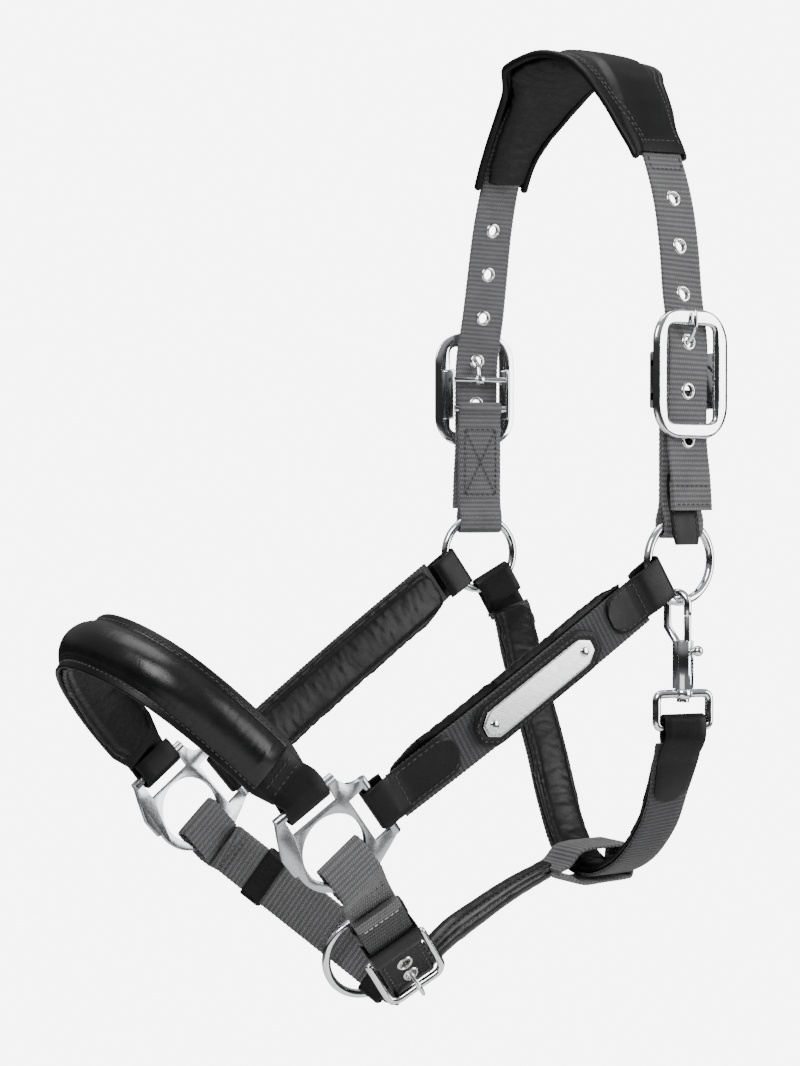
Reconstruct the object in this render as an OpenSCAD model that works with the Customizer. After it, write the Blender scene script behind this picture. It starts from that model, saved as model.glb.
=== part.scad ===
// Headcollar for a horse: padded crown, two buckled drops, cheekpieces, padded noseband,
// chin strap, jaw strap and a throatlash that unclips with a bolt snap.
// Origin at the poll: the middle of the crown lining's underside. +X is the horse's left
// (near) side, +Y is towards the neck, +Z is up. Millimetres.

/* [Straps] */
// Width of the woven webbing
webbing_w = 26; // [25:0.5:26]
// Thickness of one layer of webbing
webbing_t = 1.8; // [1.6:0.1:1.8]
// Thickness of the strap leather
leather_t = 1.4; // [1.2:0.1:1.4]
// Width of the leather folds that pass through the slots of the fittings
fold_w = 23; // [22:0.5:24]
// Thickness of the soft lining of the crown
crown_pad_t = 8.9; // [6:0.1:10]
// Thickness of the soft lining of the cheeks, nose and throat
lining_t = 6; // [4:0.5:6]

/* [Rings] */
// Mean radius of the cheek rings
ring_r = 21; // [20.5:0.1:21.5]
// Radius of the ring wire
wire_r = 2.25; // [2:0.05:2.25]
// Mean radius of the lead ring
lead_ring_r = 21; // [20.5:0.1:21.5]

/* [Cheek buckles] */
// Outer width of the frame
frame_w = 49; // [48:0.5:51]
// Outer height of the frame
frame_h = 66; // [64:0.5:67]
// Thickness of the frame plate
frame_t = 3; // [2:0.1:3]
// Width of the window
window_w = 31; // [30:0.5:31.5]
// Height of the window
window_h = 50; // [49:0.5:51]

/* [Nose fittings] */
// Radius of the round hole for the chin strap
hole_r = 17; // [16.5:0.1:17.5]
// Radius of the round outer edge
fitting_r = 21.5; // [21:0.1:22]
// Length of each slot
slot_w = 27; // [26.5:0.1:27.5]

/* [Hidden] */

NEAR = 1;
FAR = -1;
Y = [0, 1, 0];
gap = 0.2;
running = 0.05;

webbing_grey = [0.33, 0.33, 0.34];
leather_black = [0.07, 0.07, 0.08];
lining_black = [0.12, 0.12, 0.13];
chrome = [0.85, 0.86, 0.88];
satin = [0.66, 0.67, 0.69];

// Cheek drops: each hangs round a vertical line through the middle of its ring.
ring_x = 88.5;
ring_y = -6;
ring_z = -263;
far_turn = -15;
tongue_bar_z = -162;
strap_bar_z = -179;
frame_z = -167.5;
frame_in = 7.3;
tongue_bar_r = 1.6;
strap_bar_r = 2;
ear_in = -2.7;
tongue_r = 1.2;

// Headpiece from the near tail up to the poll: [point, share of the drop's turn].
// The far half is its mirror image. Eyelets sit on points 2 to 7.
HEAD = [
    [[98.5, -6, -237], 1], [[97, -6, -220], 1],
    [[94.3, -6, -201], 1], [[94.1, -6, -176], 1], [[93.9, -5.5, -151], 1],
    [[88, -4, -126], 0.75], [[84, -3, -101], 0.5], [[79, -3, -76], 0.25],
    [[71, -4, -52], 0], [[62, -5, -36], 0], [[54, -4, -22], 0],
    [[42, -2, -7], 0], [[26, 0, 4], 0], [[0, 0, 10], 0]];
EYELET_POINTS = [2, 3, 4, 5, 6, 7];
CROWN_POINT = 8;
// Distances of the crown's front and back edges from the route, against the sideways place.
crown_front = [[-71, 16.5], [-62, 16.5], [-54, 17.5], [-42, 22], [-24, 36], [0, 33],
    [26, 32], [42, 29], [54, 24], [62, 19], [71, 16.5]];
crown_back = [[-71, 16.5], [-62, 18], [-54, 22], [-42, 28], [-26, 30], [0, 28],
    [26, 28], [42, 22], [54, 20], [62, 18], [71, 16.5]];

// Nose fittings: middle of the round hole and the directions back, up and out.
HOLE = [72, -205, -395];
BACK = [0.011, 0.991, -0.133];
RISE = [0.143, 0.130, 0.981];
bar_out = 30;
slot_in = 19;
bar_r = 2.4;
slot_angle = 43.4;

// Noseband centreline, near to far: [sideways, distance forward and up from the slot bars].
NOSE_RISE = [0, -0.733, 0.680];
NOSE_ACROSS = [0, 0.680, 0.733];
NOSE = [[74.8, 0], [75.5, 20], [73.5, 45], [68, 68], [57, 88], [38, 102], [14, 108],
    [-9, 103], [-29, 88], [-46, 67], [-59, 45], [-68, 22], [-74.8, 0]];

// Chin strap centreline from the near tail, round the turn under the chin, to the far fitting.
CHIN_NEAR = [70.5, -192.5, -409.5];
CHIN_DOWN = [-0.45, 0.62, -0.64];
CHIN_ACROSS = [0.309, 0.782, 0.541];
FAR_CHIN_ACROSS = [0.28, 0.45, 0.80];
CHIN_FAR = [-70.5, -192.5, -409.5];
FAR_CHIN_DOWN = [0.70, 0.47, -0.54];
chin_lift = 4.9;
chin_tail_s = 28;
chin_inner_bar_s = 72;
chin_outer_bar_s = 96;
chin_eyelet_s = [76.5, 87.5];
chin_ply = 1.9;
chin_bar_r = 1.75;

// Throatlash centreline from the snap eye, under the jaw, up to the far ring.
THROAT = [[91.6, -8, -351], [88, -7, -363], [78, -4, -384], [64, -1, -406], [42, 1, -426],
    [14, 2, -436], [-10, 2, -427], [-26, 3, -402], [-38, 4, -375], [-50, 4, -349],
    [-64, 6, -323], [-77, 10, -302.5], [-83.8, 11.5, -295.5], [-84.8, 8, -288]];
throat_ring_angle = 30;

// Jaw strap centreline from the chin strap back to the throatlash.
JAW = [[18, -119.5, -470], [15.5, -101, -458], [12, -79, -449], [9.5, -56, -440], [8, -31.6, -432]];

// Snap: the point of the near ring that it hangs on, and the turn of its hook.
SNAP = [88.5, -7.2, -284];
snap_turn = 20;
hook_r = 5.9;
hook_rod_r = 2;
hook_z = -1.2;
barrel_x = 3.3;
barrel_r = 5.4;
barrel_top = -20;
barrel_end = -44.5;
bolt_r = 1.9;
bolt_top = -7.3;
bolt_end = -28.5;
eye_half_w = 14.8;
eye_rod_r = 2.2;
eye_top = -47.2;
eye_bottom = -64.5;
pin_r = 1.9;

// ---------- vectors and curves ----------

function unit(v) = v / norm(v);
function mix(a, b, t) = a + (b - a) * t;
function flip(p) = [-p[0], p[1], p[2]];
function turn_z(p, a) = [p[0] * cos(a) - p[1] * sin(a), p[0] * sin(a) + p[1] * cos(a), p[2]];
function curve(a, b, c, d, t) =
    0.5 * (2 * b + (c - a) * t + (2 * a - 5 * b + 4 * c - d) * t * t
        + (3 * b - a - 3 * c + d) * t * t * t);
function extended(l) = concat([2 * l[0] - l[1]], l, [2 * l[len(l) - 1] - l[len(l) - 2]]);
// Point of a smooth curve through the list, f from 0 at its start to 1 at its end.
function on_curve(l, f) =
    let (e = extended(l), x = f * (len(l) - 1), i = min(floor(x), len(l) - 2), t = x - i)
    curve(e[i], e[i + 1], e[i + 2], e[i + 3], t);
function value(v, f) = is_list(v) ? lookup(f, v) : v;

// ---------- solids that follow a route ----------

// Closed solid through a list of rings with the same number of points.
module skin(rings) {
    m = len(rings[0]);
    last = len(rings) - 1;
    polyhedron(
        points = [for (r = rings) for (p = r) p],
        faces = concat(
            [[for (k = [0 : m - 1]) k]],
            [[for (k = [m - 1 : -1 : 0]) last * m + k]],
            [for (i = [0 : last - 1], k = [0 : m - 1])
                [i * m + k, (i + 1) * m + k, i * m + (k + 1) % m]],
            [for (i = [0 : last - 1], k = [0 : m - 1])
                [i * m + (k + 1) % m, (i + 1) * m + k, (i + 1) * m + (k + 1) % m]]));
}

// Frame of a route at f: [point, along, across, outward].
function frame_at(route, f) =
    let (points = [for (s = route) s[0]], sides = [for (s = route) s[1]],
        p = on_curve(points, f),
        d = unit(on_curve(points, min(f + 0.002, 1)) - on_curve(points, max(f - 0.002, 0))),
        a = on_curve(sides, f), across = unit(a - d * (a * d)))
    [p, d, across, cross(across, d)];

// Flat strap along part of a route. Width and lift are numbers or tables over f.
module strap(route, from, to, steps, width, thick, lift = 0, shift = 0) {
    skin([for (i = [0 : steps])
        let (f = mix(from, to, i / steps), r = frame_at(route, f), p = r[0] + r[2] * shift,
            w = value(width, f) / 2, h = value(lift, f), t = thick / 2)
        [p + r[2] * w + r[3] * (h + t), p + r[2] * w + r[3] * (h - t),
            p - r[2] * w + r[3] * (h - t), p - r[2] * w + r[3] * (h + t)]]);
}

// Crowned pad along part of a route: thick in the middle and thin at the two edges.
module pad(route, from, to, steps, width, middle, edge, lift) {
    skin([for (i = [0 : steps])
        let (f = mix(from, to, i / steps), r = frame_at(route, f), w = value(width, f) / 2)
        [for (c = [[1, 0], [1, -edge], [0.6, -middle], [-0.6, -middle], [-1, -edge], [-1, 0]])
            r[0] + r[2] * w * c[0] + r[3] * (lift + c[1])]]);
}

// Half-round padding along part of a route, standing on its outer face.
module dome(route, from, to, steps, width, height, lift) {
    skin([for (i = [0 : steps])
        let (f = mix(from, to, i / steps), r = frame_at(route, f), h = value(height, f))
        [for (c = [[-1, 0], [-0.78, 0.62], [-0.4, 0.93], [0, 1], [0.4, 0.93], [0.78, 0.62], [1, 0]])
            r[0] + r[2] * width / 2 * c[0] + r[3] * (lift + h * c[1])]]);
}

// Round roll beside a route, at a distance across and a lift.
module roll(route, from, to, steps, across, lift, radius, sides = 8) {
    skin([for (i = [0 : steps])
        let (f = mix(from, to, i / steps), r = frame_at(route, f), w = value(across, f),
            c = r[0] + r[2] * w + r[3] * lift)
        [for (k = [0 : sides - 1])
            c + value(radius, f) * (r[2] * cos(-360 * k / sides) + r[3] * sin(-360 * k / sides))]]);
}

// Bent wire on a smooth curve through points that lie in one plane, with its normal.
module wire(points, normal, radius, steps) {
    roll([for (p = points) [p, normal]], 0, 1, steps, 0, 0, radius, 10);
}

// Moves children so that their X and Y run along two given directions from a point.
module place(o, ex, ey) {
    x = unit(ex);
    y = unit(ey - x * (ey * x));
    z = cross(x, y);
    multmatrix([[x[0], y[0], z[0], o[0]], [x[1], y[1], z[1], o[1]],
        [x[2], y[2], z[2], o[2]], [0, 0, 0, 1]])
        children();
}

// Round bar between two points.
module bar(p, q, r) {
    d = q - p;
    side = abs(unit(d)[2]) > 0.9 ? [1, 0, 0] : [0, 0, 1];
    place(p, cross(side, d), cross(d, cross(side, d)))
        cylinder(r = r, h = norm(d), $fn = 32);
}

module ball(p, r) {
    translate(p)
        sphere(r = r, $fn = 32);
}

// Bent round rod through points, with balls at its bends.
module rod(points, r) {
    for (i = [0 : len(points) - 2])
        bar(points[i], points[i + 1], r);
    for (p = points)
        ball(p, r + 0.03);
}

module ring(radius, wire) {
    rotate_extrude($fn = 96)
        translate([radius, 0])
            circle(r = wire, $fn = 32);
}

// Fold of strap round a bar along Y. The bar may stand anywhere from x = 0 to x = -reach.
// The two layers leave towards +X as far as x = tail.
module fold(inner, thick, width, reach, tail) {
    outer = inner + thick;
    rotate([90, 0, 0])
        linear_extrude(height = width, center = true)
            difference() {
                union() {
                    translate([-reach, 0])
                        circle(r = outer, $fn = 48);
                    translate([-reach, -outer])
                        square([reach + tail, 2 * outer]);
                }
                translate([-reach, 0])
                    circle(r = inner, $fn = 48);
                translate([-reach, -inner])
                    square([reach + tail + 1, 2 * inner]);
            }
}

// Punched holes are eight-sided; the eyelet's flanges cover them.
eyelet_hole_r = 3.7;

// Metal eyelet through a strap, standing proud by a lip on both faces. Axis along Z.
module eyelet(thick, bore = 2.7, lip = 0.5) {
    rotate_extrude($fn = 48)
        polygon([[bore, -thick / 2 - lip], [4.5, -thick / 2 - lip], [4.5, -thick / 2],
            [3.3, -thick / 2], [3.3, thick / 2], [4.5, thick / 2], [4.5, thick / 2 + lip],
            [bore, thick / 2 + lip]]);
}

// Flat loop of leather round a strap that runs along X.
module keeper(length, inner_w, low, high, wall) {
    difference() {
        translate([0, -inner_w / 2 - wall, low - wall])
            cube([length, inner_w + 2 * wall, high - low + 2 * wall]);
        translate([-1, -inner_w / 2, low])
            cube([length + 2, inner_w, high - low]);
    }
}

// ---------- crown and headpiece ----------

function near_head() = [for (s = HEAD) [s[0], Y]];
function far_point(p, share) =
    turn_z(flip(p) - [-ring_x, ring_y, 0], far_turn * share) + [-ring_x, ring_y, 0];
function far_head() = [for (i = [len(HEAD) - 2 : -1 : 0])
    [far_point(HEAD[i][0], HEAD[i][1]), turn_z(Y, far_turn * HEAD[i][1])]];
HEADPIECE = concat(near_head(), far_head());
head_spans = len(HEADPIECE) - 1;
function head_f(i) = i / head_spans;
crown_from = head_f(CROWN_POINT);
crown_to = head_f(head_spans - CROWN_POINT);
function crown_edge(table) =
    [for (i = [CROWN_POINT : head_spans - CROWN_POINT])
        [head_f(i), lookup(HEADPIECE[i][0][0], table)]];
CROWN_FRONT = crown_edge(crown_front);
CROWN_BACK = crown_edge(crown_back);
crown_roll_r = 2.2;

// Closed band between the crown's two edges: points are [share of the half width, lift].
module crown_band(outline, inset) {
    skin([for (i = [0 : 30])
        let (f = mix(crown_from, crown_to, i / 30), r = frame_at(HEADPIECE, f),
            front = value(CROWN_FRONT, f) - inset, back = value(CROWN_BACK, f) - inset)
        [for (c = outline)
            r[0] + r[2] * (c[0] > 0 ? back : front) * c[0] + r[3] * c[1]]]);
}

module crown_top() {
    low = webbing_t / 2 + gap;
    color(leather_black)
        crown_band([[1, low + leather_t], [1, low], [-1, low], [-1, low + leather_t]], 0);
}

module crown_pad() {
    top = -webbing_t / 2 - gap;
    color(lining_black)
        crown_band([[1, top], [1, top - 4], [0.6, top - crown_pad_t],
            [-0.6, top - crown_pad_t], [-1, top - 4], [-1, top]], 2.6);
}

module crown_roll(edge, side) {
    color(leather_black)
        roll(HEADPIECE, crown_from, crown_to, 30,
            [for (c = edge) [c[0], side * (c[1] - 0.2)]], -1.4, crown_roll_r);
}

module crown_front_roll() {
    crown_roll(CROWN_FRONT, -1);
}

module crown_back_roll() {
    crown_roll(CROWN_BACK, 1);
}

module at_eyelet(i) {
    r = frame_at(HEADPIECE, head_f(i));
    place(r[0], r[2], r[1])
        children();
}

module headpiece_webbing() {
    color(webbing_grey)
        difference() {
            strap(HEADPIECE, 0, 1, 78, webbing_w, webbing_t);
            for (i = EYELET_POINTS, far = [false, true])
                at_eyelet(far ? head_spans - i : i)
                    cylinder(r = eyelet_hole_r, h = 8, center = true, $fn = 8);
        }
}

module near_billet_eyelets() {
    color(chrome)
        for (i = EYELET_POINTS)
            at_eyelet(i)
                eyelet(webbing_t);
}

module far_billet_eyelets() {
    color(chrome)
        for (i = EYELET_POINTS)
            at_eyelet(head_spans - i)
                eyelet(webbing_t);
}

// ---------- cheek buckles and rings ----------

// Frame of a drop: X outward from its ring, Y back, Z up, at the height of the poll.
module drop(side) {
    translate([side * ring_x, ring_y, 0])
        rotate([0, 0, side == FAR ? far_turn : 0])
            mirror([side == FAR ? 1 : 0, 0, 0])
                children();
}

module rounded_rectangle(w, h, r) {
    square([w - 2 * r, h], center = true);
    square([w, h - 2 * r], center = true);
    for (i = [-1, 1], k = [-1, 1])
        translate([i * (w / 2 - r), k * (h / 2 - r)])
            circle(r = r, $fn = 64);
}

module buckle_frame(side) {
    ear_t = 2.2;
    ear_low = strap_bar_z - 6;
    ear_high = tongue_bar_z + 6;
    color(chrome)
        drop(side) {
            translate([frame_in, 0, frame_z])
                rotate([90, 0, 90])
                    linear_extrude(height = frame_t)
                        difference() {
                            rounded_rectangle(frame_w, frame_h, 17);
                            rounded_rectangle(window_w, window_h, 4);
                        }
            for (k = [-1, 1])
                difference() {
                    translate([ear_in, k * (window_w / 2 + ear_t / 2 + 0.6) - ear_t / 2, ear_low])
                        cube([frame_in - ear_in + 0.2, ear_t, ear_high - ear_low]);
                    for (b = [[tongue_bar_z, tongue_bar_r], [strap_bar_z, strap_bar_r]])
                        translate([0, 0, b[0]])
                            rotate([90, 0, 0])
                                cylinder(r = b[1] + 0.02, h = 60, center = true, $fn = 32);
                }
        }
}

module buckle_bar(side, z, r) {
    color(chrome)
        drop(side)
            translate([0, 0, z])
                rotate([90, 0, 0])
                    cylinder(r = r, h = window_w + 5.6, center = true, $fn = 32);
}

// Tongue: an eye round its bar, then up through the eyelet and out over the frame.
module buckle_tongue(side) {
    color(chrome)
        drop(side)
            difference() {
                union() {
                    translate([0, 0, tongue_bar_z])
                        rotate([90, 0, 0])
                            cylinder(r = 2.9, h = 5, center = true, $fn = 32);
                    wire([[0.6, 0, -160], [2.6, 0, -153.4], [7.6, 0, -149.8], [11.6, 0, -144.4],
                        [12.2, 0, -139.5], [12, 0, -136]], Y, tongue_r, 20);
                }
                translate([0, 0, tongue_bar_z])
                    rotate([90, 0, 0])
                        cylinder(r = tongue_bar_r + running, h = 8, center = true, $fn = 32);
            }
}

// Chape: webbing round the strap bar above and the ring below, its two layers sewn between.
module buckle_chape(side) {
    bar_hole = strap_bar_r + 0.2;
    ring_hole = wire_r + 0.3;
    ring_top = ring_z + ring_r;
    drop_by = 5;
    color(webbing_grey)
        drop(side)
            rotate([90, 0, 0])
                linear_extrude(height = webbing_w, center = true)
                    difference() {
                        union() {
                            translate([0, strap_bar_z])
                                circle(r = bar_hole + webbing_t, $fn = 48);
                            translate([-webbing_t - 0.1, ring_top])
                                square([2 * webbing_t + 0.2, strap_bar_z - ring_top]);
                            for (d = [0, drop_by])
                                translate([0, ring_top - d])
                                    circle(r = ring_hole + webbing_t, $fn = 48);
                            translate([-ring_hole - webbing_t, ring_top - drop_by])
                                square([2 * (ring_hole + webbing_t), drop_by]);
                        }
                        translate([0, strap_bar_z])
                            circle(r = bar_hole, $fn = 48);
                        for (d = [0, drop_by])
                            translate([0, ring_top - d])
                                circle(r = ring_hole, $fn = 48);
                        translate([-ring_hole, ring_top - drop_by])
                            square([2 * ring_hole, drop_by]);
                    }
}

module cheek_ring(side) {
    color(chrome)
        drop(side)
            translate([0, 0, ring_z])
                rotate([0, 90, 0])
                    ring(ring_r, wire_r);
}

module near_ring_tag() {
    color(leather_black)
        drop(NEAR)
            rotate([90, 0, 0])
                translate([0, 0, -11])
                    linear_extrude(height = 18)
                        polygon([[2.1, -221], [3.3, -221], [3.3, -229], [6.3, -239], [8.6, -255],
                            [7.4, -255], [5.1, -239], [2.1, -229]]);
}

module near_cheek_buckle() { buckle_frame(NEAR); }
module far_cheek_buckle() { buckle_frame(FAR); }
module near_tongue_bar() { buckle_bar(NEAR, tongue_bar_z, tongue_bar_r); }
module far_tongue_bar() { buckle_bar(FAR, tongue_bar_z, tongue_bar_r); }
module near_strap_bar() { buckle_bar(NEAR, strap_bar_z, strap_bar_r); }
module far_strap_bar() { buckle_bar(FAR, strap_bar_z, strap_bar_r); }
module near_buckle_tongue() { buckle_tongue(NEAR); }
module far_buckle_tongue() { buckle_tongue(FAR); }
module near_buckle_chape() { buckle_chape(NEAR); }
module far_buckle_chape() { buckle_chape(FAR); }
module near_cheek_ring() { cheek_ring(NEAR); }
module far_cheek_ring() { cheek_ring(FAR); }

// ---------- nose fittings ----------

// Frame of a fitting: X back, Y up, Z out, from the middle of the round hole.
module fitting(side) {
    mirror([side == FAR ? 1 : 0, 0, 0])
        place(HOLE, BACK, RISE)
            children();
}

// X runs out through one of the two slots, Y along its bar.
module slot_side(k) {
    mirror([k < 0 ? 1 : 0, 0, 0])
        rotate([0, 0, 90 - slot_angle])
            children();
}

function slot_point(k, out, along) =
    let (a = 90 - slot_angle, x = out * cos(a) - along * sin(a), y = out * sin(a) + along * cos(a))
    HOLE + BACK * (k * x) + RISE * y;
function slot_out(k) = BACK * (k * sin(slot_angle)) + RISE * cos(slot_angle);
function slot_along(k) = BACK * (-k * cos(slot_angle)) + RISE * sin(slot_angle);

module nose_fitting(side) {
    prong = 4;
    half = slot_w / 2 + prong;
    a = 90 - slot_angle;
    color(satin)
        fitting(side) {
            difference() {
                translate([0, 0, -1.5])
                    linear_extrude(height = 3)
                        difference() {
                            union() {
                                circle(r = fitting_r, $fn = 96);
                                for (k = [-1, 1])
                                    mirror([k < 0 ? 1 : 0, 0])
                                        polygon([[0, 0], [0, 31], [4, 32],
                                            [31 * cos(a) - half * sin(a), 31 * sin(a) + half * cos(a)],
                                            [31 * cos(a) + half * sin(a), 31 * sin(a) - half * cos(a)],
                                            [31, 3], [26, -8], [18, -15]]);
                            }
                            circle(r = hole_r, $fn = 96);
                        }
                for (k = [-1, 1])
                    slot_side(k)
                        translate([slot_in, -slot_w / 2, -5])
                            cube([20, slot_w, 10]);
            }
            for (k = [-1, 1])
                slot_side(k)
                    translate([bar_out, 0, 0])
                        rotate([90, 0, 0])
                            cylinder(r = bar_r, h = 2 * half + 0.6, center = true, $fn = 32);
        }
}

module near_nose_fitting() { nose_fitting(NEAR); }
module far_nose_fitting() { nose_fitting(FAR); }

// ---------- cheekpieces ----------

CHEEK_BAR = slot_point(1, bar_out, 0);
ring_dir = [0, -0.838, -0.546];
ring_across = [0, -0.546, 0.838];
function ring_point(side) = side == NEAR
    ? [ring_x, ring_y, ring_z] + ring_dir * ring_r
    : far_point([ring_x, ring_y, 0] + ring_dir * ring_r + [0, 0, ring_z], 1);
function cheek_start(side) = side == NEAR ? CHEEK_BAR : flip(CHEEK_BAR);
function cheek_span(side) = norm(ring_point(side) - cheek_start(side));
// Stations from the fitting to the ring, bowed outward a little in the middle.
function cheek_route(side) =
    let (a = slot_along(1), b = ring_across,
        from_a = side == NEAR ? a : flip(a), to_b = side == NEAR ? b : turn_z(b, far_turn))
    [for (k = [0 : 0.125 : 1])
        [mix(cheek_start(side), ring_point(side), k) + [side * 3 * sin(180 * k), 0, 0],
            -side * unit(mix(from_a, to_b, k))]];
function cheek_f(side, mm) = mm / cheek_span(side);
// The webbing sits a little below the middle of the lining.
cheek_shift = 2;
function chape_lift() = webbing_t / 2 + gap + leather_t / 2;

module cheek_webbing(side) {
    n = cheek_span(side);
    color(webbing_grey)
        strap(cheek_route(side), cheek_f(side, 10), cheek_f(side, n - 12), 12, webbing_w - 1,
            webbing_t, 0, cheek_shift);
}

module cheek_padding(side) {
    n = cheek_span(side);
    color(lining_black)
        pad(cheek_route(side), cheek_f(side, 12), cheek_f(side, n - 14), 12,
            [[0, 26], [0.12, 33], [0.88, 33], [1, 26]], lining_t, 2.5, -webbing_t / 2 - gap);
}

// Leather fold round the ring and the tab that is sewn down over the webbing.
module upper_chape(side) {
    n = cheek_span(side);
    inner = wire_r + 0.9;
    lift = inner + leather_t / 2;
    route = cheek_route(side);
    r = frame_at(route, 1);
    color(leather_black) {
        mirror([side == FAR ? 1 : 0, 0, 0])
            place(side == FAR ? flip(r[0]) : r[0], -(side == FAR ? flip(r[1]) : r[1]),
                side == FAR ? flip(r[2]) : r[2])
                fold(inner, leather_t, fold_w, 4.6, 5);
        strap(route, cheek_f(side, n - 34), cheek_f(side, n - 4.6), 8,
            [[cheek_f(side, n - 34), 14], [cheek_f(side, n - 24), fold_w], [1, fold_w]], leather_t,
            [[cheek_f(side, n - 16), chape_lift()], [cheek_f(side, n - 5), lift]]);
    }
}

// Leather fold round the bar of the fitting and its round-ended tab.
module lower_chape(side) {
    inner = bar_r + 0.5;
    lift = inner + leather_t / 2;
    color(leather_black) {
        mirror([side == FAR ? 1 : 0, 0, 0])
            place(CHEEK_BAR, slot_out(1), slot_along(1))
                fold(inner, leather_t, fold_w, 0.6, 5);
        strap(cheek_route(side), cheek_f(side, 4.6), cheek_f(side, 48), 12,
            [[0, fold_w], [cheek_f(side, 36), fold_w], [cheek_f(side, 44), 17],
                [cheek_f(side, 48), 9]], leather_t,
            [[cheek_f(side, 5), lift], [cheek_f(side, 16), chape_lift()]]);
    }
}

module near_cheek_webbing() { cheek_webbing(NEAR); }
module far_cheek_webbing() { cheek_webbing(FAR); }
module near_cheek_padding() { cheek_padding(NEAR); }
module far_cheek_padding() { cheek_padding(FAR); }
module near_upper_chape() { upper_chape(NEAR); }
module far_upper_chape() { upper_chape(FAR); }
module near_lower_chape() { lower_chape(NEAR); }
module far_lower_chape() { lower_chape(FAR); }

plate_mid = 101;
plate_l = 74;
plate_w = 15;
plate_t = 1;
patch_lift = webbing_t / 2 + 0.9;
rivet_reach = 31;

module on_cheek(mm, lift) {
    r = frame_at(cheek_route(NEAR), cheek_f(NEAR, mm));
    place(r[0] + r[3] * lift + r[2] * cheek_shift, r[1], r[2])
        mirror([0, 0, 1])
            children();
}

module hexagon(l, w, point) {
    polygon([[-l / 2, -w * 0.2], [-l / 2, w * 0.2], [-l / 2 + point, w / 2], [l / 2 - point, w / 2],
        [l / 2, w * 0.2], [l / 2, -w * 0.2], [l / 2 - point, -w / 2], [-l / 2 + point, -w / 2]]);
}

module nameplate_patch() {
    color(leather_black)
        on_cheek(plate_mid, patch_lift)
            linear_extrude(height = leather_t)
                hexagon(plate_l + 10, plate_w + 8, 8);
}

module nameplate() {
    color(satin)
        on_cheek(plate_mid, patch_lift + leather_t)
            linear_extrude(height = plate_t)
                difference() {
                    hexagon(plate_l, plate_w, 6);
                    for (k = [-1, 1])
                        translate([k * rivet_reach, 0])
                            circle(r = 1.5, $fn = 32);
                }
}

module nameplate_rivets() {
    color(chrome)
        on_cheek(plate_mid, patch_lift + leather_t)
            for (k = [-1, 1])
                translate([k * rivet_reach, 0, 0]) {
                    cylinder(r = 1.48, h = plate_t, $fn = 32);
                    translate([0, 0, plate_t])
                        cylinder(r = 2.6, h = 0.8, $fn = 32);
                }
}

// ---------- noseband ----------

NOSE_BAR = slot_point(-1, bar_out, 0);
function nose_point(p) = [p[0], NOSE_BAR[1], NOSE_BAR[2]] + NOSE_RISE * p[1];
NOSEBAND = [for (i = [0 : len(NOSE) - 1])
    let (end = i == 0 || i == len(NOSE) - 1, s = NOSE[i][0] > 0 ? 1 : -1, a = slot_along(-1))
    [nose_point(NOSE[i]), end ? (s > 0 ? a : flip(a)) : NOSE_ACROSS]];
NOSE_W = [[0, 24], [0.05, 24], [0.1, 31], [0.5, 33], [0.9, 31], [0.95, 24], [1, 24]];

module noseband_base() {
    inner = bar_r + 0.6;
    color(leather_black) {
        strap(NOSEBAND, 0.02, 0.98, 48, NOSE_W, 2,
            [[0.02, inner + 1], [0.06, 0], [0.94, 0], [0.98, inner + 1]]);
        for (k = [0, 1])
            mirror([k, 0, 0])
                place(NOSE_BAR, slot_out(-1), slot_along(-1))
                    fold(inner, leather_t, fold_w, 0.8, 4.5);
    }
}

module noseband_core() {
    color(lining_black)
        dome(NOSEBAND, 0.1, 0.9, 44, 23, [[0.1, 4], [0.14, 6.9], [0.86, 6.9], [0.9, 4]], 1 + gap);
}

module noseband_lining() {
    color(lining_black)
        pad(NOSEBAND, 0.07, 0.93, 44, [[0.07, 26], [0.12, 34], [0.88, 34], [0.93, 26]],
            lining_t, 2.5, -1 - gap);
}

// ---------- chin strap ----------

// Frame of the near side of the chin: X down the strap, Y across, Z out.
module chin_side() {
    place(CHIN_NEAR, CHIN_DOWN, CHIN_ACROSS)
        children();
}

CHIN_X = unit(CHIN_DOWN);
CHIN_Y = unit(CHIN_ACROSS - CHIN_X * (CHIN_ACROSS * CHIN_X));
CHIN_Z = cross(CHIN_X, CHIN_Y);
function chin_point(s, z) = CHIN_NEAR + CHIN_X * s + CHIN_Z * z;
FAR_X = unit(FAR_CHIN_DOWN);
function far_chin_point(s) = CHIN_FAR + FAR_X * s;
// Frame of the far side: X down the strap, Y across, from the rim of the far fitting.
module far_chin_side() {
    place(CHIN_FAR, FAR_CHIN_DOWN, FAR_CHIN_ACROSS)
        children();
}

CHIN = concat(
    [for (s = [chin_tail_s : 13 : 93]) [chin_point(s, chin_lift), -CHIN_Y]],
    [[[24.9, -131.7, -476.6], [-0.3, -0.65, -0.7]]],
    [for (s = [123 : -18 : 15]) [far_chin_point(s), -FAR_CHIN_ACROSS]]);
chin_spans = len(CHIN) - 1;

// Webbing folded through the hole of a fitting, in the frame of the fitting's plate.
module rim_fold() {
    inner = 2.8;
    outer = inner + webbing_t;
    place(CHIN_NEAR, CHIN_NEAR - HOLE, cross(cross(BACK, RISE), CHIN_NEAR - HOLE))
        rotate([90, 0, 0])
            linear_extrude(height = webbing_w, center = true)
                difference() {
                    union() {
                        translate([-11, 0])
                            circle(r = outer, $fn = 48);
                        polygon([[-11, -outer], [3.5, -outer], [9, -chin_ply], [9, chin_ply],
                            [3.5, outer], [-11, outer]]);
                    }
                    translate([-11, 0])
                        circle(r = inner, $fn = 48);
                    polygon([[-11, -inner], [3.5, -inner], [6.5, -0.1], [6.5, 0.1],
                        [3.5, inner], [-11, inner]]);
                }
}

// Two plies of webbing sewn together, from the fold at the rim down to a distance.
module chin_plies(length) {
    translate([5, -webbing_w / 2, -chin_ply])
        cube([length - 5, webbing_w, 2 * chin_ply]);
}

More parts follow.
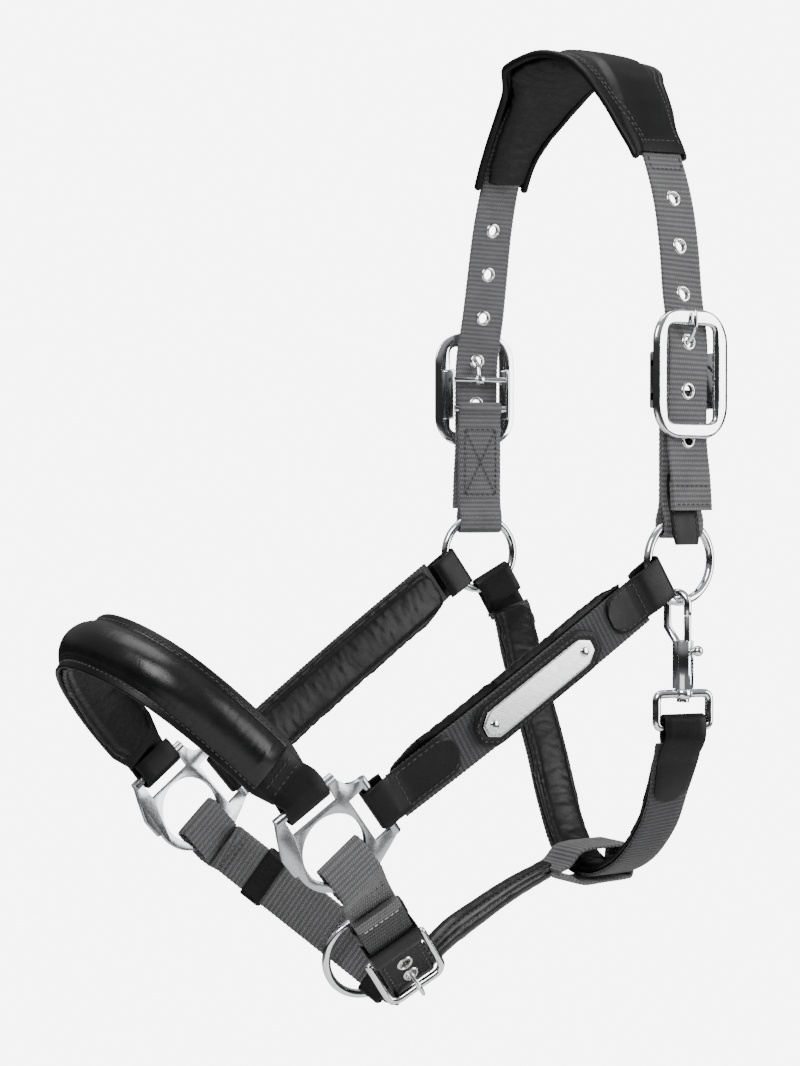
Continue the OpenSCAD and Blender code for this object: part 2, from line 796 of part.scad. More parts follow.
module chin_eyelet_holes() {
    chin_side()
        for (s = chin_eyelet_s)
            translate([s, 0, chin_lift])
                cylinder(r = eyelet_hole_r, h = 8, center = true, $fn = 8);
}

module chin_strap() {
    color(webbing_grey) {
        difference() {
            strap(CHIN, 0, 0.9, 48, webbing_w - 0.2, webbing_t);
            chin_eyelet_holes();
        }
        mirror([1, 0, 0])
            rim_fold();
        far_chin_side()
            chin_plies(88);
    }
}

module chin_leather() {
    color(leather_black)
        difference() {
            strap(CHIN, 0.17, 0.5, 24, webbing_w - 1, leather_t,
                webbing_t / 2 + 0.1 + leather_t / 2);
            chin_eyelet_holes();
        }
}

module chin_eyelets() {
    thick = webbing_t + 0.1 + leather_t;
    color(chrome)
        chin_side()
            for (s = chin_eyelet_s)
                translate([s, 0, chin_lift + (thick - webbing_t) / 2])
                    eyelet(thick, 3);
}

module chin_buckle_chape() {
    slit = 2.7;
    color(webbing_grey) {
        rim_fold();
        chin_side()
            difference() {
                union() {
                    chin_plies(chin_inner_bar_s);
                    translate([chin_inner_bar_s, 0, 0])
                        rotate([90, 0, 0])
                            cylinder(r = chin_bar_r + 0.2 + 1.6, h = webbing_w, center = true,
                                $fn = 48);
                }
                translate([chin_inner_bar_s, 0, 0])
                    rotate([90, 0, 0])
                        cylinder(r = chin_bar_r + 0.2, h = webbing_w + 2, center = true, $fn = 48);
                translate([chin_inner_bar_s - 3.6, -slit, -5])
                    cube([10, 2 * slit, 10]);
            }
    }
}

module chin_rear_keeper() {
    color(leather_black)
        chin_side()
            translate([38, 0, 0])
                keeper(11, webbing_w + 0.6, -2.1, 2.1, 1.3);
}

module chin_front_keeper() {
    color(leather_black)
        chin_side()
            translate([54, 0, 0])
                keeper(12, webbing_w + 0.6, -2.1, 7.8, 1.3);
}

module chin_buckle_frame() {
    half = webbing_w / 2 + 2.9;
    out = 10.2;
    corners = [for (k = [-1, 1]) [[chin_inner_bar_s, k * half, 0],
        [chin_outer_bar_s, k * half, out]]];
    color(chrome)
        chin_side() {
            rod([corners[0][0], corners[0][1], corners[1][1], corners[1][0]], 2);
            bar(corners[0][0], corners[1][0], chin_bar_r);
        }
}

module chin_buckle_tongue() {
    color(chrome)
        chin_side()
            difference() {
                union() {
                    translate([chin_inner_bar_s, 0, 0])
                        rotate([90, 0, 0])
                            cylinder(r = 2.9, h = 4.6, center = true, $fn = 32);
                    translate([chin_inner_bar_s, 0, 0])
                        wire([[2, 0, 0.4], [12, 0, 0.8], [16.6, 0, 7.4], [19.4, 0, 12],
                            [24, 0, 14], [27.5, 0, 13.8]], Y, tongue_r, 22);
                }
                translate([chin_inner_bar_s, 0, 0])
                    rotate([90, 0, 0])
                        cylinder(r = chin_bar_r + running, h = 8, center = true, $fn = 32);
            }
}

slider_s = 31;

module chin_slider() {
    color(leather_black)
        far_chin_side()
            translate([slider_s, 0, 0])
                keeper(12, webbing_w + 0.6, -chin_ply - 0.2, chin_ply + 0.2, 1.3);
}

LEAD = far_chin_point(105);
LEAD_NORMAL = [0.956, -0.218, -0.197];

module lead_ring() {
    color(chrome)
        place(LEAD, FAR_CHIN_ACROSS - LEAD_NORMAL * (FAR_CHIN_ACROSS * LEAD_NORMAL),
            cross(LEAD_NORMAL, FAR_CHIN_ACROSS))
            ring(lead_ring_r, wire_r);
}

// ---------- jaw strap ----------

JAW_ROUTE = [for (p = JAW) [p, [1, 0, 0]]];

module jaw_front_loop() {
    color(leather_black)
        far_chin_side()
            translate([112, 0, 0])
                keeper(13, webbing_w + 1.4, -3.2, 3.2, leather_t);
}

module jaw_strap() {
    color(leather_black)
        roll(JAW_ROUTE, 0, 1, 12, 0, 0, [[0, 6], [0.3, 7], [1, 5.4]], 10);
}

module jaw_throat_loop() {
    color(webbing_grey)
        translate([9.5, 0, 0])
            rotate([90, 0, 90])
                linear_extrude(height = webbing_w - 2, center = true)
                    difference() {
                        polygon([[-30, -429.5], [-18, -420.5], [17, -419.5], [20.5, -422.5], [20, -439.4],
                            [-16, -440.4], [-30, -435]]);
                        polygon([[-20, -430], [-15.5, -422.5], [15.5, -421.5], [18.5, -423.5], [18, -437.4],
                            [-15, -438.4]]);
                    }
}

// ---------- throatlash and snap ----------

function throat_across(i) = i < 2 ? [-0.26, -0.965, 0] : (i > 11
    ? turn_z([0, -cos(throat_ring_angle), -sin(throat_ring_angle)], far_turn) : -Y);
THROAT_ROUTE = [for (i = [0 : len(THROAT) - 1]) [THROAT[i], throat_across(i)]];

module throat_webbing() {
    color(webbing_grey)
        strap(THROAT_ROUTE, 0.04, 0.93, 40, webbing_w, webbing_t);
}

module throat_padding() {
    color(lining_black)
        pad(THROAT_ROUTE, 0.05, 0.91, 40, [[0.05, 26], [0.12, 31], [0.86, 31], [0.91, 27]],
            lining_t, 2.5, -webbing_t / 2 - gap);
}

module throat_far_chape() {
    inner = wire_r + 0.7;
    color(leather_black) {
        drop(FAR)
            translate([0, 0, ring_z])
                rotate([throat_ring_angle, 0, 0])
                    translate([0, 0, -ring_r])
                        rotate([0, 90, 0])
                            fold(inner, leather_t, fold_w, 4.6, 8.5);
        strap(THROAT_ROUTE, 0.82, 1, 10, [[0.82, 14], [0.86, fold_w], [1, fold_w]], leather_t,
            [[0.9, chape_lift()], [0.97, inner + leather_t / 2]]);
    }
}

module throat_near_chape() {
    inner = eye_rod_r + 0.4;
    color(leather_black) {
        snap_axis()
            translate([0, 0, eye_bottom])
                rotate([0, 0, -snap_turn - 15])
                    rotate([0, 90, 0])
                        fold(inner, leather_t, fold_w, 3, 6);
        strap(THROAT_ROUTE, 0.018, 0.17, 12, [[0.02, fold_w], [0.12, fold_w], [0.15, 15], [0.17, 4]],
            leather_t, [[0.02, inner + leather_t / 2], [0.06, chape_lift()]]);
    }
}

// Frame of the snap: X across the hook, Z up, from the ring wire that it hangs on.
module snap() {
    translate(SNAP)
        rotate([0, 0, snap_turn])
            children();
}

// The same frame, moved to the axis of the barrel and the swivel.
module snap_axis() {
    snap()
        translate([barrel_x, 0, 0])
            children();
}

module snap_eye() {
    color(chrome)
        snap_axis()
            rotate([0, 0, -snap_turn - 15])
                difference() {
                    union() {
                        rod([[0, -eye_half_w, eye_top], [0, -eye_half_w, eye_bottom],
                            [0, eye_half_w, eye_bottom], [0, eye_half_w, eye_top],
                            [0, -eye_half_w, eye_top]], eye_rod_r);
                        translate([0, 0, eye_top - 2.4])
                            cylinder(r = 4.6, h = 4.8, $fn = 48);
                    }
                    translate([0, 0, eye_top - 6])
                        cylinder(r = pin_r + running, h = 12, $fn = 32);
                }
}

module snap_hook() {
    left = [-hook_r, 0, hook_z];
    color(chrome)
        snap() {
            translate([0, 0, hook_z])
                rotate([90, 0, 0])
                    rotate_extrude(angle = 180, $fn = 64)
                        translate([hook_r, 0])
                            circle(r = hook_rod_r, $fn = 32);
            bar(left, [-hook_r, 0, -13], hook_rod_r);
            ball([-hook_r, 0, -13], hook_rod_r);
            bar([-hook_r, 0, -13], [0.5, 0, barrel_top - 2], hook_rod_r);
            bar([hook_r, 0, hook_z], [hook_r, 0, -7], hook_rod_r);
            difference() {
                translate([barrel_x, 0, barrel_end])
                    cylinder(r = barrel_r, h = barrel_top - barrel_end, $fn = 64);
                translate([hook_r, 0, -41])
                    cylinder(r = bolt_r + 0.1, h = 30, $fn = 32);
                translate([hook_r, -1.5, -36.5])
                    cube([10, 3, 20]);
            }
            translate([barrel_x, 0, eye_top - 4.3])
                cylinder(r = pin_r, h = barrel_end - eye_top + 4.4, $fn = 32);
            translate([barrel_x, 0, eye_top - 4.3])
                cylinder(r = 3.2, h = 1.6, $fn = 32);
        }
}

module snap_bolt() {
    color(chrome)
        snap() {
            translate([hook_r, 0, bolt_end])
                cylinder(r = bolt_r, h = bolt_top - bolt_end, $fn = 32);
            bar([hook_r, 0, -25], [hook_r + 5, 0, -25], 1.2);
            ball([hook_r + 6, 0, -25], 2.8);
        }
}

module snap_spring() {
    turns = 7;
    spring_r = 1.4;
    low = -40.8;
    high = bolt_end - 0.2;
    color(satin)
        snap()
            translate([hook_r, 0, 0])
                skin([for (i = [0 : turns * 10])
                    let (a = 36 * i, c = [spring_r * cos(a), spring_r * sin(a),
                        mix(low + 0.3, high - 0.3, i / (turns * 10))])
                    [for (k = [0 : 5])
                        c + 0.28 * [cos(a) * cos(-60 * k), sin(a) * cos(-60 * k), sin(-60 * k)]]]);
}

crown_top();
crown_pad();
crown_front_roll();
crown_back_roll();
headpiece_webbing();
near_billet_eyelets();
far_billet_eyelets();
near_cheek_buckle();
near_tongue_bar();
near_strap_bar();
near_buckle_tongue();
near_buckle_chape();
near_cheek_ring();
near_ring_tag();
far_cheek_buckle();
far_tongue_bar();
far_strap_bar();
far_buckle_tongue();
far_buckle_chape();
far_cheek_ring();
near_cheek_webbing();
near_cheek_padding();
near_upper_chape();
near_lower_chape();
far_cheek_webbing();
far_cheek_padding();
far_upper_chape();
far_lower_chape();
nameplate_patch();
nameplate();
nameplate_rivets();
near_nose_fitting();
far_nose_fitting();
noseband_base();
noseband_core();
noseband_lining();
chin_strap();
chin_leather();
chin_eyelets();
chin_slider();
chin_buckle_chape();
chin_rear_keeper();
chin_front_keeper();
chin_buckle_frame();
chin_buckle_tongue();
lead_ring();
jaw_front_loop();
jaw_strap();
jaw_throat_loop();
throat_webbing();
throat_padding();
throat_far_chape();
throat_near_chape();
snap_eye();
snap_hook();
snap_bolt();
snap_spring();
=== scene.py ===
import math

import bmesh
import bpy
import numpy as np
from mathutils import Matrix, Vector, noise

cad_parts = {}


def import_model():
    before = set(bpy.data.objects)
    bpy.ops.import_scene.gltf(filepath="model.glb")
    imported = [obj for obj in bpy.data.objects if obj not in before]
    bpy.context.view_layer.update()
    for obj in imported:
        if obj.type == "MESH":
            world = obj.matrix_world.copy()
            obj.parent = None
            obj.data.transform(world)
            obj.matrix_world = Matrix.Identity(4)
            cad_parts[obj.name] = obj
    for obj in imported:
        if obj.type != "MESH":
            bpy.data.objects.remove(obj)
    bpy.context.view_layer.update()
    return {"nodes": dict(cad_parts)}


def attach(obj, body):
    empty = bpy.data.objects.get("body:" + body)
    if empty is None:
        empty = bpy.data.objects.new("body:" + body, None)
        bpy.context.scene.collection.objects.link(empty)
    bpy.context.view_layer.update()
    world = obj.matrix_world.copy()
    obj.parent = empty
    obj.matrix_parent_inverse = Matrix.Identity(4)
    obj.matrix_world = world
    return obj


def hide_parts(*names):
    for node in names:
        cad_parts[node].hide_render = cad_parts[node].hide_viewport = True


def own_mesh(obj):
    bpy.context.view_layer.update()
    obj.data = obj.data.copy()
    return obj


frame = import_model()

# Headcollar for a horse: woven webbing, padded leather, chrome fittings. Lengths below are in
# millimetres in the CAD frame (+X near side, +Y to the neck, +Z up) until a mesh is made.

MM = 0.001
ROOT = "headcollar"
NEAR, FAR = 1, -1
WORD = {NEAR: "near", FAR: "far"}
TAU = 2 * math.pi

# ---------- camera, light and floor ----------

CAMERA_AT = (0.9111, -0.7207, -0.2287)
CAMERA_RIGHT = (0.5505, 0.8348, 0.0)
CAMERA_UP = (-0.0154, 0.0102, 0.9998)
CAMERA_BACK = (0.8347, -0.5504, 0.0185)


def camera():
    data = bpy.data.cameras.new("camera")
    data.sensor_width = 36
    data.lens = 70.92
    data.clip_start = 0.01
    data.clip_end = 100
    obj = bpy.data.objects.new("camera", data)
    axes = Matrix((CAMERA_RIGHT, CAMERA_UP, CAMERA_BACK)).transposed()
    obj.matrix_world = Matrix.Translation(CAMERA_AT) @ axes.to_4x4()
    bpy.context.scene.collection.objects.link(obj)
    bpy.context.scene.camera = obj


def area_light(name, at, aim, size, power):
    data = bpy.data.lights.new(name, "AREA")
    data.shape = "RECTANGLE"
    data.size, data.size_y = size
    data.energy = power
    obj = bpy.data.objects.new(name, data)
    obj.location = at
    obj.rotation_euler = (Vector(at) - Vector(aim)).to_track_quat("Z", "Y").to_euler()
    bpy.context.scene.collection.objects.link(obj)


def world():
    """Pale studio: even to the camera, with soft darker flags for the metal to reflect."""
    w = bpy.data.worlds.new("studio")
    bpy.context.scene.world = w
    w.use_nodes = True
    t = w.node_tree
    t.nodes.clear()
    out = t.nodes.new("ShaderNodeOutputWorld")
    mix = t.nodes.new("ShaderNodeMixShader")
    path = t.nodes.new("ShaderNodeLightPath")
    seen = t.nodes.new("ShaderNodeBackground")
    seen.inputs["Color"].default_value = (7.0, 7.0, 7.0, 1)
    lit = t.nodes.new("ShaderNodeBackground")
    coord = t.nodes.new("ShaderNodeTexCoord")
    split = t.nodes.new("ShaderNodeSeparateXYZ")
    ramp = t.nodes.new("ShaderNodeValToRGB")
    half = t.nodes.new("ShaderNodeMath")
    half.operation = "MULTIPLY_ADD"
    half.inputs[1].default_value = 0.5
    half.inputs[2].default_value = 0.5
    stops = ((0.0, 0.12), (0.36, 0.20), (0.45, 0.03), (0.53, 0.03), (0.60, 0.28), (1.0, 0.55))
    ramp.color_ramp.elements[0].position = stops[0][0]
    ramp.color_ramp.elements[1].position = stops[-1][0]
    for position, _ in stops[1:-1]:
        ramp.color_ramp.elements.new(position)
    for element, (_, value) in zip(ramp.color_ramp.elements, stops):
        element.color = (value, value, value, 1)
    t.links.new(coord.outputs["Generated"], split.inputs[0])
    t.links.new(split.outputs["Z"], half.inputs[0])
    t.links.new(half.outputs[0], ramp.inputs[0])
    t.links.new(ramp.outputs[0], lit.inputs["Color"])
    t.links.new(path.outputs["Is Camera Ray"], mix.inputs[0])
    t.links.new(lit.outputs[0], mix.inputs[1])
    t.links.new(seen.outputs[0], mix.inputs[2])
    t.links.new(mix.outputs[0], out.inputs[0])


# ---------- materials ----------


class Nodes:
    """A material's nodes, built from short calls. Constant values stay on the shader's sockets."""

    def __init__(self, name):
        self.mat = bpy.data.materials.new(name)
        self.mat.use_nodes = True
        self.tree = self.mat.node_tree
        self.shader = self.tree.nodes["Principled BSDF"]

    def new(self, kind, links=(), **values):
        node = self.tree.nodes.new("ShaderNode" + kind)
        for key, value in values.items():
            setattr(node, key, value)
        for socket, source in links:
            if hasattr(source, "is_linked") or hasattr(source, "links"):
                self.tree.links.new(source, node.inputs[socket])
            else:
                node.inputs[socket].default_value = source
        return node

    def math(self, operation, a, b=0.0, c=0.0):
        return self.new("Math", ((0, a), (1, b), (2, c)), operation=operation).outputs[0]

    def coordinate(self, kind, scale=(1, 1, 1)):
        coord = self.new("TexCoord").outputs[kind]
        return self.new("Mapping", (("Vector", coord), ("Scale", scale))).outputs[0]

    def noise(self, where, scale, detail=4.0, roughness=0.55):
        return self.new("TexNoise", (("Vector", where), ("Scale", scale), ("Detail", detail),
                                     ("Roughness", roughness))).outputs["Fac"]

    def voronoi(self, where, scale):
        return self.new("TexVoronoi", (("Vector", where), ("Scale", scale)),
                        feature="DISTANCE_TO_EDGE").outputs["Distance"]

    def ramp(self, factor, *stops):
        node = self.new("ValToRGB", ((0, factor),))
        elements = node.color_ramp.elements
        elements[0].position, elements[1].position = stops[0][0], stops[-1][0]
        for position, _ in stops[1:-1]:
            elements.new(position)
        for element, (_, color) in zip(elements, stops):
            color = color if isinstance(color, tuple) else (color, color, color)
            element.color = (*color, 1)
        return node.outputs[0]

    def bump(self, height, distance, strength, under=None):
        links = [("Height", height), ("Distance", distance), ("Strength", strength)]
        if under is not None:
            links.append(("Normal", under))
        return self.new("Bump", links).outputs[0]

    def connect(self, **sockets):
        for key, source in sockets.items():
            self.tree.links.new(source, self.shader.inputs[key.replace("_", " ")])
        return self.mat


def webbing_material(name, dark, light):
    """Woven nylon: cross ribs from the strap's own length, fine yarns, faint wear."""
    n = Nodes(name)
    n.shader.inputs["Specular IOR Level"].default_value = 0.35
    n.shader.inputs["Sheen Weight"].default_value = 0.12
    n.shader.inputs["Sheen Roughness"].default_value = 0.5
    uv = n.new("SeparateXYZ", ((0, n.coordinate("UV")),)).outputs
    ribs = n.math("SINE", n.math("MULTIPLY", uv[0], TAU / RIB))
    loops = n.math("SINE", n.math("MULTIPLY_ADD", uv[1], TAU / 1.25,
                                  n.math("MULTIPLY", uv[0], TAU / RIB / 2)))
    yarn = n.math("MULTIPLY", loops, n.math("MULTIPLY_ADD", ribs, 0.5, 0.5))
    blur = n.noise(n.coordinate("Object"), 60, 3)
    fine = n.noise(n.coordinate("Object"), 2200, 4, 0.7)
    tone = n.math("MULTIPLY_ADD", ribs, 0.20, n.math("MULTIPLY_ADD", yarn, 0.20, 0.36))
    tone = n.math("ADD", tone, n.math("MULTIPLY_ADD", blur, 0.30, -0.10))
    tone = n.math("ADD", tone, n.math("MULTIPLY_ADD", fine, 0.6, -0.30))
    color = n.ramp(tone, (0.0, dark), (0.55, tuple((a + b) / 2 for a, b in zip(dark, light))),
                   (1.0, light))
    rough = n.ramp(fine, (0.3, 0.62), (0.7, 0.78))
    normal = n.bump(ribs, 0.00015, 0.8)
    normal = n.bump(yarn, 0.00020, 0.9, normal)
    normal = n.bump(fine, 0.00010, 0.8, normal)
    return n.connect(Base_Color=color, Roughness=rough, Normal=normal)


def leather_material(name, dark, light, gloss, specular, grain=900):
    """Finished leather: pore grain, soft mottling, paler worn ridges."""
    n = Nodes(name)
    n.shader.inputs["Specular IOR Level"].default_value = specular
    where = n.coordinate("Object")
    pores = n.voronoi(where, grain)
    mottle = n.noise(where, 45, 5)
    fine = n.noise(where, 1500, 4)
    worn = n.new("NewGeometry").outputs["Pointiness"]
    tone = n.math("MULTIPLY_ADD", mottle, 0.5, n.math("MULTIPLY_ADD", fine, 0.2, -0.15))
    tone = n.math("ADD", tone, n.math("MULTIPLY_ADD", worn, 3.0, -1.42))
    color = n.ramp(tone, (0.05, dark), (0.9, light))
    rough = n.ramp(mottle, (0.3, gloss - 0.06), (0.7, gloss + 0.10))
    normal = n.bump(pores, 0.00012, 0.45)
    normal = n.bump(fine, 0.00008, 0.4, normal)
    normal = n.bump(mottle, 0.0006, 0.25, normal)
    return n.connect(Base_Color=color, Roughness=rough, Normal=normal)


def lining_material():
    """Soft leathercloth: shallow creases and a fine grain, dull."""
    n = Nodes("lining")
    n.shader.inputs["Specular IOR Level"].default_value = 0.28
    where = n.coordinate("Object")
    creases = n.noise(n.coordinate("Object", (1.0, 1.0, 3.2)), 130, 5, 0.6)
    grain = n.voronoi(where, 1300)
    mottle = n.noise(where, 30, 3)
    tone = n.math("MULTIPLY_ADD", creases, 0.6, n.math("MULTIPLY_ADD", mottle, 0.4, -0.05))
    color = n.ramp(tone, (0.2, (0.0016, 0.0016, 0.0018)), (0.8, (0.0065, 0.0065, 0.0072)))
    rough = n.ramp(creases, (0.3, 0.62), (0.75, 0.48))
    normal = n.bump(creases, 0.0007, 0.45)
    normal = n.bump(grain, 0.0001, 0.35, normal)
    return n.connect(Base_Color=color, Roughness=rough, Normal=normal)


def metal_material(name, tone, rough, brushed=0.0):
    """Plated metal: faint handling marks, with brushing along the strap if asked."""
    n = Nodes(name)
    n.shader.inputs["Metallic"].default_value = 1.0
    where = n.coordinate("Object")
    marks = n.noise(where, 220, 6, 0.7)
    cloud = n.noise(where, 35, 3)
    lines = n.noise(n.coordinate("Object", (40, 1.0, 1.6)), 160, 4, 0.6)
    color = n.ramp(cloud, (0.3, tuple(c * 0.93 for c in tone)), (0.7, tone))
    spread = 0.05 + brushed * 0.1
    rough = n.ramp(marks, (0.35, rough), (0.75, rough + spread))
    normal = n.bump(lines, 0.00006, 0.15 + brushed)
    normal = n.bump(marks, 0.00003, 0.25, normal)
    return n.connect(Base_Color=color, Roughness=rough, Normal=normal)


def thread_material(name, dark, light):
    """Twisted sewing thread."""
    n = Nodes(name)
    n.shader.inputs["Sheen Weight"].default_value = 0.2
    where = n.coordinate("Object")
    twist = n.new("TexWave", (("Vector", where), ("Scale", 700.0), ("Distortion", 2.0)),
                  bands_direction="DIAGONAL").outputs["Fac"]
    color = n.ramp(twist, (0.2, dark), (0.8, light))
    rough = n.ramp(n.noise(where, 800), (0.3, 0.5), (0.7, 0.7))
    return n.connect(Base_Color=color, Roughness=rough, Normal=n.bump(twist, 0.0001, 0.6))


RIB = 2.6
WEBBING = webbing_material("webbing", (0.024, 0.024, 0.026), (0.210, 0.210, 0.215))
WEBBING_DARK = webbing_material("webbing_dark", (0.006, 0.006, 0.007), (0.060, 0.060, 0.064))
LEATHER = leather_material("leather", (0.0010, 0.0010, 0.0012), (0.0055, 0.0055, 0.0061), 0.43, 0.20)
LEATHER_GLOSS = leather_material("leather_gloss", (0.0014, 0.0014, 0.0016), (0.0075, 0.0075, 0.0082),
                                 0.30, 0.34)
LEATHER_SOFT = leather_material("leather_soft", (0.0010, 0.0010, 0.0012), (0.0055, 0.0055, 0.0061),
                                0.38, 0.20, 1200)
LINING = lining_material()
CHROME = metal_material("chrome", (0.83, 0.84, 0.86), 0.06)
NICKEL = metal_material("nickel", (0.74, 0.74, 0.73), 0.20)
BRUSHED = metal_material("brushed_metal", (0.74, 0.75, 0.76), 0.24, 0.5)
SATIN = metal_material("satin_metal", (0.50, 0.51, 0.53), 0.20, 0.35)
THREAD = thread_material("thread", (0.003, 0.003, 0.004), (0.022, 0.022, 0.024))
THREAD_PALE = thread_material("thread_pale", (0.25, 0.25, 0.26), (0.75, 0.75, 0.76))

# ---------- vectors, frames and routes ----------


def unit(v):
    v = np.asarray(v, float)
    return v / np.linalg.norm(v)


def turn_z(v, degrees):
    c, s = math.cos(math.radians(degrees)), math.sin(math.radians(degrees))
    return np.array((v[0] * c - v[1] * s, v[0] * s + v[1] * c, v[2]))


def flip(v):
    return np.array((-v[0], v[1], v[2]), float)


def on_side(side, v):
    """A near-side vector, mirrored for the far side."""
    return v if side == NEAR else flip(v)


class Axes:
    """A point with three directions: X and Y as given, Z across them."""

    def __init__(self, o, ex, ey):
        self.o = np.asarray(o, float)
        self.x = unit(ex)
        self.y = unit(ey - self.x * np.dot(ey, self.x))
        self.z = np.cross(self.x, self.y)

    def at(self, x, y, z):
        return self.o + self.x * x + self.y * y + self.z * z

    def moved(self, x, y, z):
        other = Axes(self.at(x, y, z), self.x, self.y)
        other.z = self.z
        return other


class Route:
    """Smooth curve through stations of (point, across)."""

    def __init__(self, stations):
        p = np.array([s[0] for s in stations], float)
        a = np.array([s[1] for s in stations], float)
        self.n = len(p) - 1
        self.p = np.vstack((2 * p[0] - p[1], p, 2 * p[-1] - p[-2]))
        self.a = np.vstack((2 * a[0] - a[1], a, 2 * a[-1] - a[-2]))
        f = np.linspace(0, 1, 1200)
        q = self.curve(self.p, f)
        self.table = (f, np.concatenate(([0], np.cumsum(np.linalg.norm(np.diff(q, axis=0), axis=1)))))
        self.length = self.table[1][-1]

    def curve(self, e, f):
        x = np.clip(np.asarray(f, float), 0, 1) * self.n
        i = np.minimum(np.floor(x).astype(int), self.n - 1)
        t = (x - i)[:, None]
        a, b, c, d = e[i], e[i + 1], e[i + 2], e[i + 3]
        return 0.5 * (2 * b + (c - a) * t + (2 * a - 5 * b + 4 * c - d) * t ** 2
                      + (3 * b - a - 3 * c + d) * t ** 3)

    def frames(self, f):
        """Points, directions along, across and outward at each f."""
        f = np.atleast_1d(np.asarray(f, float))
        p = self.curve(self.p, f)
        d = self.curve(self.p, np.minimum(f + 0.002, 1)) - self.curve(self.p, np.maximum(f - 0.002, 0))
        d /= np.linalg.norm(d, axis=1)[:, None]
        a = self.curve(self.a, f)
        a = a - d * np.sum(a * d, axis=1)[:, None]
        a /= np.linalg.norm(a, axis=1)[:, None]
        return p, d, a, np.cross(a, d)

    def s(self, f):
        return np.interp(f, *self.table)

    def f(self, s):
        return np.interp(s, self.table[1], self.table[0])

    def axes(self, f):
        """Axes at f: X along, Y across, Z outward."""
        p, d, a, o = (v[0] for v in self.frames(f))
        axes = Axes(p, d, a)
        axes.z = o
        return axes

    def at(self, f, across=0.0, lift=0.0):
        p, _, a, o = (v[0] for v in self.frames(f))
        return p + a * across + o * lift

# ---------- meshes ----------


def over(value, f):
    """A number, or a table of (f, value), at each f."""
    if isinstance(value, (int, float)):
        return np.full(len(f), float(value))
    return np.interp(f, [v[0] for v in value], [v[1] for v in value])


def table(f, values):
    """A table of (f, value) for over()."""
    return [(float(g), float(v)) for g, v in zip(f, values)]


THREAD_R = 0.34
LINE_PITCH, LINE_STITCH = 3.0, 2.2


def strap_outline(columns):
    """Section of a flat strap: shares of the flat half width, of the edge and of half the thickness."""
    flat = np.linspace(1, -1, columns)
    arc = [(math.cos(t), math.sin(t)) for t in (math.radians(a) for a in (45, 0, -45))]
    top = [(c, 0, 1) for c in flat]
    left = [(-1, -x, y) for x, y in arc]
    bottom = [(c, 0, -1) for c in flat[::-1]]
    right = [(1, x, y) for x, y in arc[::-1]]
    return np.array(top + left + bottom + right)


